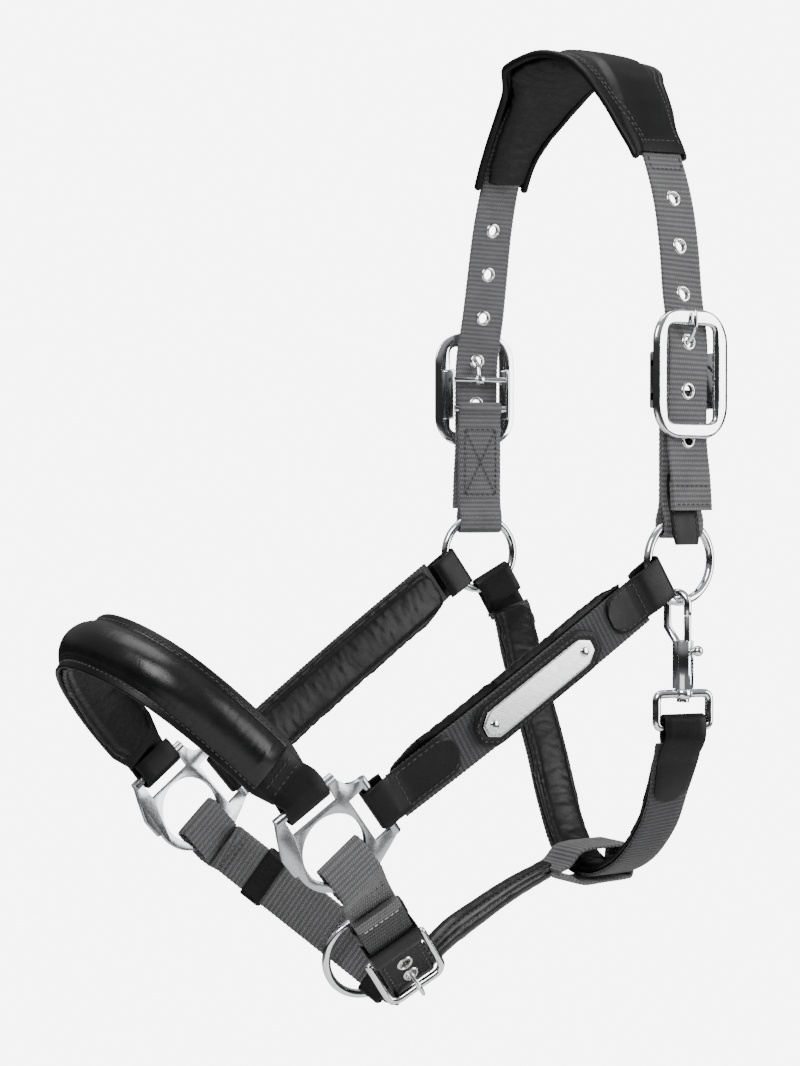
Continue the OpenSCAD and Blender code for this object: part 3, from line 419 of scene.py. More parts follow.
class Shape:
    """Collects surfaces in millimetres and makes one piece of them."""

    def __init__(self):
        self.v, self.f, self.uv, self.count = [], [], [], 0

    def skin(self, rings, s, closed=True, caps=True, drop=None):
        rings = np.asarray(rings, float)
        n, m = rings.shape[:2]
        middle = rings[n // 2]
        wrap = np.vstack((middle, middle[:1])) if closed else middle
        v = np.concatenate(([0], np.cumsum(np.linalg.norm(np.diff(wrap, axis=0), axis=1))))
        cols = m if closed else m - 1
        i, k = np.meshgrid(np.arange(n - 1), np.arange(cols), indexing="ij")
        k1 = (k + 1) % m
        quads = np.stack((i * m + k, (i + 1) * m + k, (i + 1) * m + k1, i * m + k1), -1)
        uv = np.stack((np.stack((s[i], v[k]), -1), np.stack((s[i + 1], v[k]), -1),
                       np.stack((s[i + 1], v[k + 1]), -1), np.stack((s[i], v[k + 1]), -1)), 2)
        keep = np.ones((n - 1, cols), bool) if drop is None else ~drop
        self.f += (quads[keep] + self.count).tolist()
        self.uv.append(uv[keep].reshape(-1, 2))
        if caps:
            for ring in (0, n - 1):
                self.f.append((np.arange(m) + ring * m + self.count).tolist())
                self.uv.append(np.stack((np.full(m, s[ring]), v[:m]), -1))
        self.v.append(rings.reshape(-1, 3))
        self.count += n * m
        return self

    def ribbon(self, route, f0, f1, width, thick, *, step, lift=0.0, shift=0.0, columns=5,
               edge=0.5, rib=0.0, holes=()):
        """Flat strap. rib is the height of woven ribs; holes are (s, across, radius)."""
        s0, s1 = route.s(f0), route.s(f1)
        count = max(3, int(round((s1 - s0) / step)) + 1)
        s = np.linspace(s0, s1, count)
        f = route.f(s)
        p, _, a, o = route.frames(f)
        w, h, t = over(width, f) / 2, over(lift, f), over(thick, f) / 2
        x = over(shift, f)
        outline = strap_outline(columns)
        across = x[:, None] + outline[:, 0] * (w[:, None] - edge) + outline[:, 1] * edge
        wave = np.cos(TAU * s / RIB)[:, None]
        high = outline[:, 2] * (t[:, None] + rib * wave * (abs(outline[:, 0]) < 0.99))
        across += np.sign(outline[:, 0]) * (abs(outline[:, 1]) > 0.5) * rib * 1.2 * wave
        rings = (p[:, None] + a[:, None] * across[..., None]
                 + o[:, None] * (h[:, None] + high)[..., None])
        drop = None
        if holes:
            drop = np.zeros((count - 1, len(outline)), bool)
            mid_s = (s[1:] + s[:-1])[:, None] / 2
            mid_a = (across + np.roll(across, -1, axis=1))[:-1] / 2
            for hs, ha, radius in holes:
                drop |= (mid_s - hs) ** 2 + (mid_a - ha) ** 2 < radius ** 2
        return self.skin(rings, s, drop=drop)

    def tube(self, route, f0, f1, radius, sides, across=0.0, lift=0.0, step=1.2, round_ends=True):
        """Round bar beside a route."""
        s = np.linspace(route.s(f0), route.s(f1),
                        max(3, int((route.s(f1) - route.s(f0)) / step) + 1))
        f = route.f(s)
        p, d, a, o = route.frames(f)
        r = over(radius, f)
        c = p + a * over(across, f)[:, None] + o * over(lift, f)[:, None]
        angle = TAU * np.arange(sides) / sides
        rings = (c[:, None] + r[:, None, None] * (a[:, None] * np.cos(angle)[:, None]
                                                  + o[:, None] * np.sin(angle)[:, None]))
        if round_ends:
            first, last = [], []
            for t in (0.15, 0.5, 0.8):
                squeeze, reach = math.sqrt(1 - (1 - t) ** 2), (1 - t)
                first.append(c[0] - d[0] * r[0] * reach + (rings[0] - c[0]) * squeeze)
                last.append(c[-1] + d[-1] * r[-1] * reach + (rings[-1] - c[-1]) * squeeze)
            rings = np.concatenate((first, rings, last[::-1]))
            s = np.concatenate((s[0] - r[0] * np.array((0.85, 0.5, 0.2)), s,
                                s[-1] + r[-1] * np.array((0.2, 0.5, 0.85))))
        return self.skin(rings, s)

    def lathe(self, axes, profile, sides, closed=True):
        """Turned shape: profile points are (radius, height along Z)."""
        profile = np.array(profile, float)
        angle = TAU * np.arange(sides + 1) / sides
        rings = (axes.o + (axes.x * np.cos(angle)[:, None] + axes.y * np.sin(angle)[:, None])
                 [:, None] * profile[:, 0][:, None] + axes.z * profile[:, 1][:, None])
        start = self.count
        s = angle * profile[:, 0].max()
        self.skin(rings, s, closed=closed, caps=False)
        m = len(profile)
        if not closed:
            for end in (0, m - 1):
                self.f.append([start + i * m + end for i in range(sides)])
                self.uv.append(np.zeros((sides, 2)))
        return self

    def block(self, axes, low, high, r):
        """Box with its long edges rounded by r, between two corners in the axes."""
        (x0, y0, z0), (x1, y1, z1) = low, high
        corners = ((x1 - r, y1 - r, 0), (x0 + r, y1 - r, 90), (x0 + r, y0 + r, 180),
                   (x1 - r, y0 + r, 270))
        ring = [(cx + r * math.cos(math.radians(a + t)), cy + r * math.sin(math.radians(a + t)))
                for cx, cy, a in corners for t in (0, 30, 60, 90)]
        middle = ((x0 + x1) / 2, (y0 + y1) / 2)
        rings = []
        for z, inset in ((z0, r * 0.8), (z0 + r * 0.4, r * 0.2), (z0 + r, 0), (z1 - r, 0),
                         (z1 - r * 0.4, r * 0.2), (z1, r * 0.8)):
            rings.append([axes.at(x - math.copysign(inset, x - middle[0]),
                                  y - math.copysign(inset, y - middle[1]), z) for x, y in ring])
        return self.skin(rings, np.array((z0, z0 + r * 0.4, z0 + r, z1 - r, z1 - r * 0.4, z1)))

    def stitch(self, a, b, up):
        """One stitch of thread from a to b, bedded at its ends."""
        d = unit(b - a)
        side = unit(np.cross(up, d))
        up = np.cross(d, side)
        rings = []
        for t, rise, swell in ((0, -0.35, 0.5), (0.15, 0.10, 0.9), (0.5, 0.20, 1.0),
                               (0.85, 0.10, 0.9), (1, -0.35, 0.5)):
            c = a + (b - a) * t + up * rise * THREAD_R * 2
            rings.append([c + THREAD_R * swell * (side * math.cos(q) + up * math.sin(q))
                          for q in (0, TAU / 6, TAU / 3, TAU / 2, TAU * 2 / 3, TAU * 5 / 6)])
        return self.skin(rings, np.linspace(0, 1, 5) * np.linalg.norm(b - a))

    def seam(self, route, f0, f1, across, lift, pitch=3.3, length=2.4):
        """Row of stitches along a route, on its outward face if lift is positive."""
        s0, s1 = route.s(f0), route.s(f1)
        count = max(1, int((s1 - s0) / pitch))
        for k in range(count):
            s = s0 + (k + 0.5) * (s1 - s0) / count
            fa, fb, fm = route.f(s - length / 2), route.f(s + length / 2), route.f(s)
            here = [float(over(v, [g])[0]) for v in (across, lift) for g in (fa, fb)]
            up = route.frames(fm)[3][0] * math.copysign(1, here[2])
            self.stitch(route.at(fa, here[0], here[2]), route.at(fb, here[1], here[3]), up)
        return self

    def line(self, a, b, up):
        """Row of stitches straight from a to b."""
        span = np.linalg.norm(b - a)
        count = max(1, int(span / LINE_PITCH))
        d = (b - a) / span
        for k in range(count):
            c = a + d * span * (k + 0.5) / count
            self.stitch(c - d * LINE_STITCH / 2, c + d * LINE_STITCH / 2, up)
        return self

    def make(self, name, material, slot, body=ROOT, replaces=(), sharp=50, ride=True):
        mesh = bpy.data.meshes.new(name)
        mesh.from_pydata((np.vstack(self.v) * MM).tolist(), [], self.f)
        layer = mesh.uv_layers.new(name="UVMap")
        layer.data.foreach_set("uv", np.vstack(self.uv).astype(np.float32).ravel())
        bm = bmesh.new()
        bm.from_mesh(mesh)
        bmesh.ops.recalc_face_normals(bm, faces=bm.faces)
        bm.to_mesh(mesh)
        bm.free()
        mesh.materials.append(material)
        return finished(bpy.data.objects.new(name, mesh), body, replaces, sharp, ride)


def finished(obj, body, replaces, sharp, ride=True):
    """Shading, place in the scene and body of a new piece."""
    mesh = obj.data
    mesh.polygons.foreach_set("use_smooth", [True] * len(mesh.polygons))
    if sharp:
        mesh.set_sharp_from_angle(angle=math.radians(sharp))
    if obj.name not in bpy.context.scene.collection.objects:
        bpy.context.scene.collection.objects.link(obj)
    if ride:
        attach(obj, body)
        if replaces:
            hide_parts(*replaces)
    return obj


def softened(node, material, width, body=ROOT, angle=35):
    """A node's own shape with its hard edges rolled off, in place of the node."""
    obj = bpy.data.objects.new(node + "_piece", frame["nodes"][node].data.copy())
    bpy.context.scene.collection.objects.link(obj)
    mesh = obj.data
    bm = bmesh.new()
    bm.from_mesh(mesh)
    bmesh.ops.remove_doubles(bm, verts=bm.verts, dist=1e-6)
    bmesh.ops.dissolve_limit(bm, angle_limit=math.radians(1.0), verts=bm.verts, edges=bm.edges)
    bm.to_mesh(mesh)
    bm.free()
    bevel = obj.modifiers.new("bevel", "BEVEL")
    bevel.width = width * MM
    bevel.segments = 2
    bevel.limit_method = "ANGLE"
    bevel.angle_limit = math.radians(angle)
    bevel.use_clamp_overlap = True
    bake_modifiers(obj)
    obj.data.materials.clear()
    obj.data.materials.append(material)
    return finished(obj, body, (node,), 40)


def bake_modifiers(obj):
    """Applies every modifier on the piece."""
    bpy.context.view_layer.update()
    depsgraph = bpy.context.evaluated_depsgraph_get()
    mesh = bpy.data.meshes.new_from_object(obj.evaluated_get(depsgraph))
    old, name = obj.data, obj.data.name
    obj.modifiers.clear()
    obj.data = mesh
    bpy.data.meshes.remove(old)
    mesh.name = name


# ---------- padded pieces ----------

PAD_VOXEL, PAD_PRESSURE, CLOTH_FRAMES = 2.2, 3.0, 14
PAD_SECTION = ((1, 0), (1, -2.0), (0.75, -4.0), (0.3, -4.9), (-0.3, -4.9), (-0.75, -4.0),
               (-1, -2.0), (-1, 0))


def coordinates(obj):
    co = np.zeros(len(obj.data.vertices) * 3, np.float32)
    obj.data.vertices.foreach_get("co", co)
    return co.reshape(-1, 3).astype(float) / MM


def put_coordinates(obj, co):
    obj.data.vertices.foreach_set("co", (co * MM).astype(np.float32).ravel())
    obj.data.update()


def on_route(route, f0, f1, co):
    """Each point's distance along the route, distance across, lift, and outward direction."""
    f = route.f(np.linspace(route.s(f0), route.s(f1), int(route.length / 1.5)))
    p, d, a, o = route.frames(f)
    near = np.concatenate([np.argmin(((part[:, None] - p[None]) ** 2).sum(-1), axis=1)
                           for part in np.array_split(co, max(1, len(co) // 2000))])
    gap = co - p[near]
    s = route.s(f)[near] + np.sum(gap * d[near], axis=1)
    return s, np.sum(gap * a[near], axis=1), np.sum(gap * o[near], axis=1), o[near]


def swollen(obj, held, cap):
    """Blows the mesh up with cloth, keeping held vertices, each moving at most cap mm."""
    group = obj.vertex_groups.new(name="held")
    group.add([int(i) for i in np.nonzero(held)[0]], 1.0, "REPLACE")
    cloth = obj.modifiers.new("cloth", "CLOTH")
    settings = cloth.settings
    settings.quality = 5
    settings.mass = 0.2
    settings.tension_stiffness = settings.compression_stiffness = 12
    settings.shear_stiffness = 6
    settings.bending_stiffness = 0.4
    settings.use_pressure = True
    settings.uniform_pressure_force = PAD_PRESSURE
    settings.effector_weights.gravity = 0
    settings.vertex_group_mass = "held"
    cloth.point_cache.frame_start, cloth.point_cache.frame_end = 1, CLOTH_FRAMES
    scene = bpy.context.scene
    start = coordinates(obj)
    for step in range(1, CLOTH_FRAMES + 1):
        scene.frame_set(step)
    shape = obj.evaluated_get(bpy.context.evaluated_depsgraph_get()).to_mesh()
    co = np.zeros(len(shape.vertices) * 3, np.float32)
    shape.vertices.foreach_get("co", co)
    moved = co.reshape(-1, 3).astype(float) / MM - start
    obj.modifiers.remove(cloth)
    scene.frame_set(1)
    far = np.maximum(np.linalg.norm(moved, axis=1), 1e-9)
    moved[~np.isfinite(far)] = 0
    put_coordinates(obj, start + moved * np.minimum(1, cap / far)[:, None])


def pad(name, route, f0, f1, section, material, replaces, *, cap, crease, crease_pitch,
        top, seam=None):
    """Soft pad. section(f, s) gives the outline [(across, lift)] of one station, flat side up."""
    s = np.arange(route.s(f0), route.s(f1), 2.0)
    f = route.f(s)
    p, _, a, o = route.frames(f)
    rings = [p[i] + np.array([a[i] * c + o[i] * h for c, h in section(f[i], s[i])])
             for i in range(len(s))]
    obj = Shape().skin(rings, s).make(name, material, "lining", ride=False)
    remesh = obj.modifiers.new("remesh", "REMESH")
    remesh.mode = "VOXEL"
    remesh.voxel_size = PAD_VOXEL * MM
    bake_modifiers(obj)
    _, _, lift, _ = on_route(route, f0, f1, coordinates(obj))
    swollen(obj, lift > top - 0.7, cap)
    even = obj.modifiers.new("smooth", "SMOOTH")
    even.factor, even.iterations = 0.6, 7
    obj.modifiers.new("subdivision", "SUBSURF").levels = 1
    again = obj.modifiers.new("smooth again", "SMOOTH")
    again.factor, again.iterations = 0.6, 8
    bake_modifiers(obj)
    co = coordinates(obj)
    s, across, lift, o_dir = on_route(route, f0, f1, co)
    depth = np.clip((top - lift) / 3.0, 0, 1)
    fold = np.array([noise.noise(Vector((u / crease_pitch, v / (crease_pitch * 2.4), 3.1)))
                     + 0.5 * noise.noise(Vector((u / crease_pitch * 2.3, v / crease_pitch, 9.7)))
                     for u, v in zip(s, across)])
    shift = -crease * fold * depth
    if seam is not None:
        half = np.interp(route.f(s), [q[0] for q in seam], [q[1] for q in seam])
        groove = np.exp(-((abs(across) - half) / 1.1) ** 2)
        shift += groove * 0.9 * depth
    co += o_dir * shift[:, None]
    above = np.maximum(lift + shift - top, 0)
    co -= o_dir * above[:, None]
    put_coordinates(obj, co)
    obj.data.materials.clear()
    obj.data.materials.append(material)
    finished(obj, ROOT, replaces, 0)


def strap_pad(name, route, f0, f1, half, width, replaces, top):
    """Pad behind a strap. half(f, s) is its half width; its seam lies 5 mm inside the width."""
    def section(f, s):
        w = half(f, s)
        return [(w * c, top - 0.1 + h) for c, h in PAD_SECTION]
    pad(name, route, f0, f1, section, LEATHER_SOFT, replaces, cap=1.1, crease=0.3,
        crease_pitch=3.5, top=top, seam=[(f, w / 2 - 5) for f, w in width])


# ---------- shared sizes, as in the frame ----------

Y = np.array((0.0, 1.0, 0.0))
WEB_W, WEB_T = 26.0, 1.8
LEATHER_T = 1.4
GAP = 0.2
FOLD_W = 23.0
RING_X, RING_Y, RING_Z = 88.5, -6.0, -263.0
RING_R, WIRE_R = 21.0, 2.25
FAR_TURN = -15.0
TONGUE_BAR_Z, STRAP_BAR_Z, FRAME_Z = -162.0, -179.0, -167.5
FRAME_IN, FRAME_T = 7.3, 3.0
BUCKLE_OUTER, BUCKLE_INNER = (49.0, 66.0, 17.0), (31.0, 50.0, 4.0)
CHEEK_SHIFT = 2.0
OVER_WEB = WEB_T / 2 + GAP + LEATHER_T / 2


def drop(side):
    """Axes of a cheek drop: X out from its ring, Y back, Z up, at the poll's height."""
    o = (side * RING_X, RING_Y, 0.0)
    if side == NEAR:
        return Axes(o, (1, 0, 0), (0, 1, 0))
    axes = Axes(o, turn_z((-1, 0, 0), FAR_TURN), turn_z((0, 1, 0), FAR_TURN))
    axes.z = -axes.z
    return axes


# ---------- crown and headpiece ----------

HEAD = [((98.5, -6, -237), 1), ((97, -6, -220), 1), ((94.3, -6, -201), 1), ((94.1, -6, -176), 1),
        ((93.9, -5.5, -151), 1), ((88, -4, -126), 0.75), ((84, -3, -101), 0.5),
        ((79, -3, -76), 0.25), ((71, -4, -52), 0), ((62, -5, -36), 0), ((54, -4, -22), 0),
        ((42, -2, -7), 0), ((26, 0, 4), 0), ((0, 0, 10), 0)]
EYELETS = range(2, 8)
CROWN_POINT = 8
CURL_DROP, CROWN_RISE = 2.4, 0.9
CROWN_FRONT = [(-71, 16.5), (-62, 16.5), (-54, 17.5), (-42, 22), (-24, 36), (0, 33),
               (26, 32), (42, 29), (54, 24), (62, 19), (71, 16.5)]
CROWN_BACK = [(-71, 16.5), (-62, 18), (-54, 22), (-42, 28), (-26, 30), (0, 28),
              (26, 28), (42, 22), (54, 20), (62, 18), (71, 16.5)]


def far_point(p, share):
    pivot = np.array((-RING_X, RING_Y, 0.0))
    return turn_z(flip(p) - pivot, FAR_TURN * share) + pivot


HEADPIECE = Route([(p, Y) for p, _ in HEAD]
                  + [(far_point(p, k), turn_z(Y, FAR_TURN * k)) for p, k in HEAD[-2::-1]])
SPANS = HEADPIECE.n
CROWN_FROM, CROWN_TO = CROWN_POINT / SPANS, 1 - CROWN_POINT / SPANS


def crown_edge(table):
    """Distance of an edge of the crown at each f, smooth between the stations."""
    route = Route([((x, w, 0), (0, 0, 1)) for x, w in table])
    q = route.curve(route.p, np.linspace(0, 1, 80))
    stations = [(HEAD[i][0][0], i / SPANS) for i in range(CROWN_POINT, len(HEAD))]
    stations += [(-x, 1 - f) for x, f in stations[-2::-1]]
    xs, fs = [v[0] for v in stations[::-1]], [v[1] for v in stations[::-1]]
    return sorted((float(np.interp(x, xs, fs)), float(w)) for x, w in q[:, :2])


FRONT, BACK_EDGE = crown_edge(CROWN_FRONT), crown_edge(CROWN_BACK)


def curl(distance):
    """How far the crown's skirt has turned down at a distance across, from 0 to 1."""
    beyond = np.clip((distance - 13.5) / 4.0, 0, 1)
    return beyond * beyond * (3 - 2 * beyond)


def crown():
    low = WEB_T / 2 + GAP
    s = np.arange(HEADPIECE.s(CROWN_FROM), HEADPIECE.s(CROWN_TO), 1.2)
    f = HEADPIECE.f(s)
    p, _, a, o = HEADPIECE.frames(f)
    front, back = over(FRONT, f), over(BACK_EDGE, f)
    u = np.linspace(-1, 1, 41)
    across = np.where(u < 0, u * front[:, None], u * back[:, None])
    ends = np.minimum(np.arange(len(s)), np.arange(len(s))[::-1])[:, None]
    lift = (low + LEATHER_T - curl(abs(across)) * CURL_DROP
            + CROWN_RISE * np.cos(u * math.pi / 2) * np.clip(ends / 8, 0, 1))
    ripple = np.array([[noise.noise(Vector((sv / 11, av / 15, 0))) for av in row]
                       for sv, row in zip(s, across)])
    lift = lift + 0.28 * ripple
    outer = p[:, None] + a[:, None] * across[..., None] + o[:, None] * lift[..., None]
    inner = outer - o[:, None] * np.minimum(LEATHER_T, lift + 0.6)[..., None]
    Shape().skin(np.concatenate((outer, inner[:, ::-1]), axis=1), s) \
        .make("crown_leather", LEATHER, "leather", replaces=("crown_top",))
    seams = Shape()
    for sign, edge in ((-1, front), (1, back)):
        for inset in (4.6, 6.6) if sign < 0 else (4.6,):
            share = (edge - inset) / edge
            lift_f = (low + LEATHER_T - curl(edge - inset) * CURL_DROP
                      + CROWN_RISE * np.cos(share * math.pi / 2))
            seams.seam(HEADPIECE, CROWN_FROM + 0.008, CROWN_TO - 0.008,
                       table(f, sign * (edge - inset)), table(f, lift_f))
    for g in (CROWN_FROM + 0.012, CROWN_TO - 0.012):
        here = HEADPIECE.axes(g)
        seams.line(here.at(0, -10, low + LEATHER_T + 0.55), here.at(0, 10, low + LEATHER_T + 0.55),
                   here.z)
    seams.make("crown_stitching", THREAD, "leather")
    for name, sign, edge in (("crown_front_roll", -1, front), ("crown_back_roll", 1, back)):
        wrinkled = [2.2 + 0.10 * noise.noise(Vector((sv / 3.5, 0, sign))) for sv in s]
        Shape().tube(HEADPIECE, CROWN_FROM, CROWN_TO, table(f, wrinkled), 14,
                     table(f, sign * (edge - 0.2)), -1.4) \
            .make(name + "_piece", LEATHER, "leather", replaces=(name,))


def crown_pad():
    top = -WEB_T / 2 - GAP
    def section(f, s):
        front, back = over(FRONT, [f])[0] - 3.4, over(BACK_EDGE, [f])[0] - 3.4
        shape = ((1, 0), (1, -3.2), (0.8, -6.2), (0.4, -7.4), (-0.4, -7.4), (-0.8, -6.2),
                 (-1, -3.2), (-1, 0))
        return [((back if c > 0 else front) * c, top - 0.1 + h) for c, h in shape]
    pad("crown_pad_piece", HEADPIECE, CROWN_FROM + 0.004, CROWN_TO - 0.004, section, LINING,
        ("crown_pad",), cap=1.5, crease=0.55, crease_pitch=5.0, top=top)


EYELET_LIP = 0.75


def eyelet(shape, axes, thick, bore=2.7):
    """Rolled metal eyelet through a strap."""
    h, lip = thick / 2, EYELET_LIP
    profile = [(bore, 0)]
    for side in (1, -1):
        arc = [(bore + 0.1, h * 0.7), (bore + 0.25, h + lip * 0.7), (bore + 0.75, h + lip),
               (4.0, h + lip * 0.6), (4.45, h + lip * 0.2), (4.5, h)]
        profile += [(r, side * z) for r, z in (arc if side > 0 else arc[::-1])]
        if side > 0:
            profile += [(3.4, h - 0.1), (3.4, -h + 0.1)]
    shape.lathe(axes, profile, 36)


def headpiece():
    holes = [(float(HEADPIECE.s(i / SPANS)), 0.0, 3.75) for k in EYELETS for i in (k, SPANS - k)]
    web = Shape().ribbon(HEADPIECE, 0, 1, WEB_W, WEB_T, step=0.65, rib=0.13, columns=31,
                         holes=holes)
    # folded hem at each tail, on the inner face
    for f0, f1 in ((0.001, HEADPIECE.f(15)), (HEADPIECE.f(HEADPIECE.length - 15), 0.999)):
        web.ribbon(HEADPIECE, f0, f1, WEB_W - 0.8, 1.5, lift=-1.75, step=0.65, rib=0.1)
    web.make("headpiece_webbing_piece", WEBBING, "webbing", replaces=("headpiece_webbing",))
    sewing = Shape()
    for f in (HEADPIECE.f(3), HEADPIECE.f(12.5), HEADPIECE.f(HEADPIECE.length - 3),
              HEADPIECE.f(HEADPIECE.length - 12.5)):
        axes = HEADPIECE.axes(f)
        sewing.line(axes.at(0, -11, 1.05), axes.at(0, 11, 1.05), axes.z)
    for sign, f in ((1, CROWN_FROM), (-1, CROWN_TO)):
        s = HEADPIECE.s(f)
        low, high = HEADPIECE.f(s - sign * 9), HEADPIECE.f(s - sign * 1.5)
        for across in (-10.5, 10.5):
            sewing.seam(HEADPIECE, min(low, high), max(low, high), across, 1.05)
        axes = HEADPIECE.axes(low)
        sewing.line(axes.at(0, -10.5, 1.05), axes.at(0, 10.5, 1.05), axes.z)
    sewing.make("headpiece_stitching", THREAD, "webbing")
    for side, name in ((NEAR, "near_billet_eyelets"), (FAR, "far_billet_eyelets")):
        rings = Shape()
        for k in EYELETS:
            eyelet(rings, HEADPIECE.axes((k if side == NEAR else SPANS - k) / SPANS), WEB_T + 0.1)
        rings.make(name + "_piece", NICKEL, "chrome", replaces=(name,), sharp=0)


# ---------- cheek buckles, chapes and rings ----------


def rounded_rectangle(w, h, r, angles):
    """Distance from the middle to a rounded rectangle in each direction."""
    out = []
    for t in angles:
        c, s = abs(math.cos(t)), abs(math.sin(t))
        reach = min(w / 2 / max(c, 1e-9), h / 2 / max(s, 1e-9))
        x, y = reach * c, reach * s
        cx, cy = w / 2 - r, h / 2 - r
        if x > cx and y > cy:
            b = c * cx + s * cy
            reach = b + math.sqrt(max(b * b - (cx * cx + cy * cy - r * r), 0))
        out.append(reach)
    return np.array(out)


def buckle_frame(side):
    axes = drop(side)
    angles = TAU * np.arange(180) / 180
    outer = rounded_rectangle(*BUCKLE_OUTER, angles)
    inner = rounded_rectangle(*BUCKLE_INNER, angles)
    section = [(share, height * FRAME_T) for share, height in
               ((0, 0.12), (0, 0.40), (0.03, 0.66), (0.09, 0.83), (0.18, 0.92), (0.33, 0.97),
                (0.5, 1.0), (0.67, 0.98), (0.82, 0.92), (0.91, 0.82), (0.97, 0.62), (1, 0.36),
                (1, 0.12), (0.95, 0), (0.5, 0), (0.05, 0))]
    rings = []
    for t, o_r, i_r in zip(angles, outer, inner):
        ring = []
        for share, height in section:
            r = i_r + (o_r - i_r) * share
            ring.append(axes.at(FRAME_IN + height, r * math.cos(t), FRAME_Z + r * math.sin(t)))
        rings.append(ring)
    shape = Shape().skin(rings + rings[:1], np.append(angles, TAU) * 30, caps=False)
    for k in (-1, 1):
        y = k * (BUCKLE_INNER[0] / 2 + 1.7)
        ear = Axes(axes.at(0, y, 0), axes.x, axes.z)
        shape.block(ear, (-2.7, STRAP_BAR_Z - 6, -1.1), (FRAME_IN + 0.4, TONGUE_BAR_Z + 6, 1.1), 0.9)
    name = WORD[side] + "_cheek_buckle"
    shape.make(name + "_piece", CHROME, "chrome", replaces=(name,), sharp=60)


def tongue(name, body, eye, eye_r, bore, eye_w, stations, normal):
    """Buckle tongue: an eye with shoulders round its bar, and a tapered wire."""
    route = Route([(p, normal) for p in stations])
    shape = Shape().tube(route, 0, 1, [(0, 1.5), (0.2, 1.2), (0.8, 1.15), (1, 0.95)], 14, step=0.8)
    h = eye_w / 2
    profile = [(bore, -h), (eye_r - 0.5, -h), (eye_r, -h + 0.6), (eye_r, h - 0.6),
               (eye_r - 0.5, h), (bore, h)]
    shape.lathe(eye, profile, 36)
    shape.make(name + "_piece", CHROME, "chrome", body, (name,), sharp=45)


def cheek_tongue(side):
    axes = drop(side)
    word = WORD[side]
    points = [(0.6, -160), (2.6, -153.4), (7.6, -149.8), (11.6, -144.4), (12.2, -139.5), (12, -136)]
    eye = Axes(axes.at(0, 0, TONGUE_BAR_Z), axes.x, axes.z)
    tongue(word + "_buckle_tongue", word + "_tongue", eye, 2.9, 1.66, 5.0,
           [axes.at(x, 0, z) for x, z in points], axes.y)


def loop_points(x, r):
    """Half circle of radius r round (x, 0), from +r to -r, on the side away from +X."""
    return [(x - r * math.sin(t), r * math.cos(t)) for t in np.linspace(0, math.pi, 9)]


def buckle_chape(side):
    """Webbing round the strap bar above and the ring below, sewn through between."""
    axes = drop(side)
    name = WORD[side] + "_buckle_chape"
    bar_r, ring_r = 2.2 + WEB_T / 2, WIRE_R + 0.3 + WEB_T / 2
    ring_top = RING_Z + RING_R
    half = WEB_T / 2 + 0.05
    path = [(half, -214), (half, -200), (half, STRAP_BAR_Z - 6)]
    path += [(bar_r * math.sin(t), STRAP_BAR_Z - bar_r * math.cos(t))
             for t in np.linspace(0.75, TAU - 0.75, 12)]
    path += [(-half, STRAP_BAR_Z - 6), (-half, -200), (-half, -214), (-half, -228), (-1.4, -235)]
    path += [(-ring_r, ring_top + 0.5), (-ring_r, ring_top - 4)]
    path += [(ring_r * math.sin(t), ring_top - 5 - ring_r * math.cos(t))
             for t in np.linspace(-1.1, 1.1, 6)]
    path += [(ring_r, ring_top - 4), (ring_r, ring_top + 0.5), (1.4, -235), (half, -228),
             (half, -214)]
    route = Route([(axes.at(x, 0, z), axes.y) for x, z in path])
    Shape().ribbon(route, 0, 1, WEB_W - 0.4, WEB_T - 0.1, step=0.65, rib=0.1) \
        .make(name + "_piece", WEBBING, "webbing", replaces=(name,))
    box = Shape()
    for x, up in ((half + WEB_T / 2 + 0.12, 1), (-half - WEB_T / 2 - 0.12, -1)):
        y0, y1, z0, z1 = -9.5, 9.5, -229.0, -191.0
        c = [axes.at(x, y0, z0), axes.at(x, y1, z0), axes.at(x, y1, z1), axes.at(x, y0, z1)]
        for a, b in ((0, 1), (1, 2), (2, 3), (3, 0), (0, 2), (1, 3)):
            box.line(c[a], c[b], axes.x * up)
    box.make(name + "_stitching", THREAD, "webbing")


def ring_tag():
    """Blank leather tag that hangs over the near ring."""
    axes = drop(NEAR)
    stations = [(2.7, -218.5), (2.7, -222), (2.8, -227), (3.4, -231), (5.3, -238), (7.0, -246),
                (8.0, -254.6)]
    route = Route([(axes.at(x, -2, z), axes.y) for x, z in stations])
    Shape().ribbon(route, 0, 1, [(0, 17.4), (0.9, 18), (1, 15)], 1.2, step=1.0) \
        .make("near_ring_tag_piece", LEATHER, "leather", replaces=("near_ring_tag",))
    sewing = Shape()
    for across in (-7.2, 7.2):
        sewing.seam(route, 0.04, 0.95, across, -0.62)
    sewing.make("near_ring_tag_stitching", THREAD, "leather")


# ---------- nose fittings ----------

HOLE = np.array((72.0, -205.0, -395.0))
BACK = np.array((0.011, 0.991, -0.133))
RISE = np.array((0.143, 0.130, 0.981))
BAR_OUT, BAR_R, SLOT_ANGLE = 30.0, 2.4, math.radians(43.4)


def slot_point(k):
    return HOLE + slot_out(k) * BAR_OUT


def slot_out(k):
    return BACK * (k * math.sin(SLOT_ANGLE)) + RISE * math.cos(SLOT_ANGLE)


def slot_along(k):
    return BACK * (-k * math.cos(SLOT_ANGLE)) + RISE * math.sin(SLOT_ANGLE)


# ---------- cheekpieces ----------

CHEEK_BAR = slot_point(1)
RING_DIR = np.array((0, -0.838, -0.546))
RING_ACROSS = np.array((0, -0.546, 0.838))


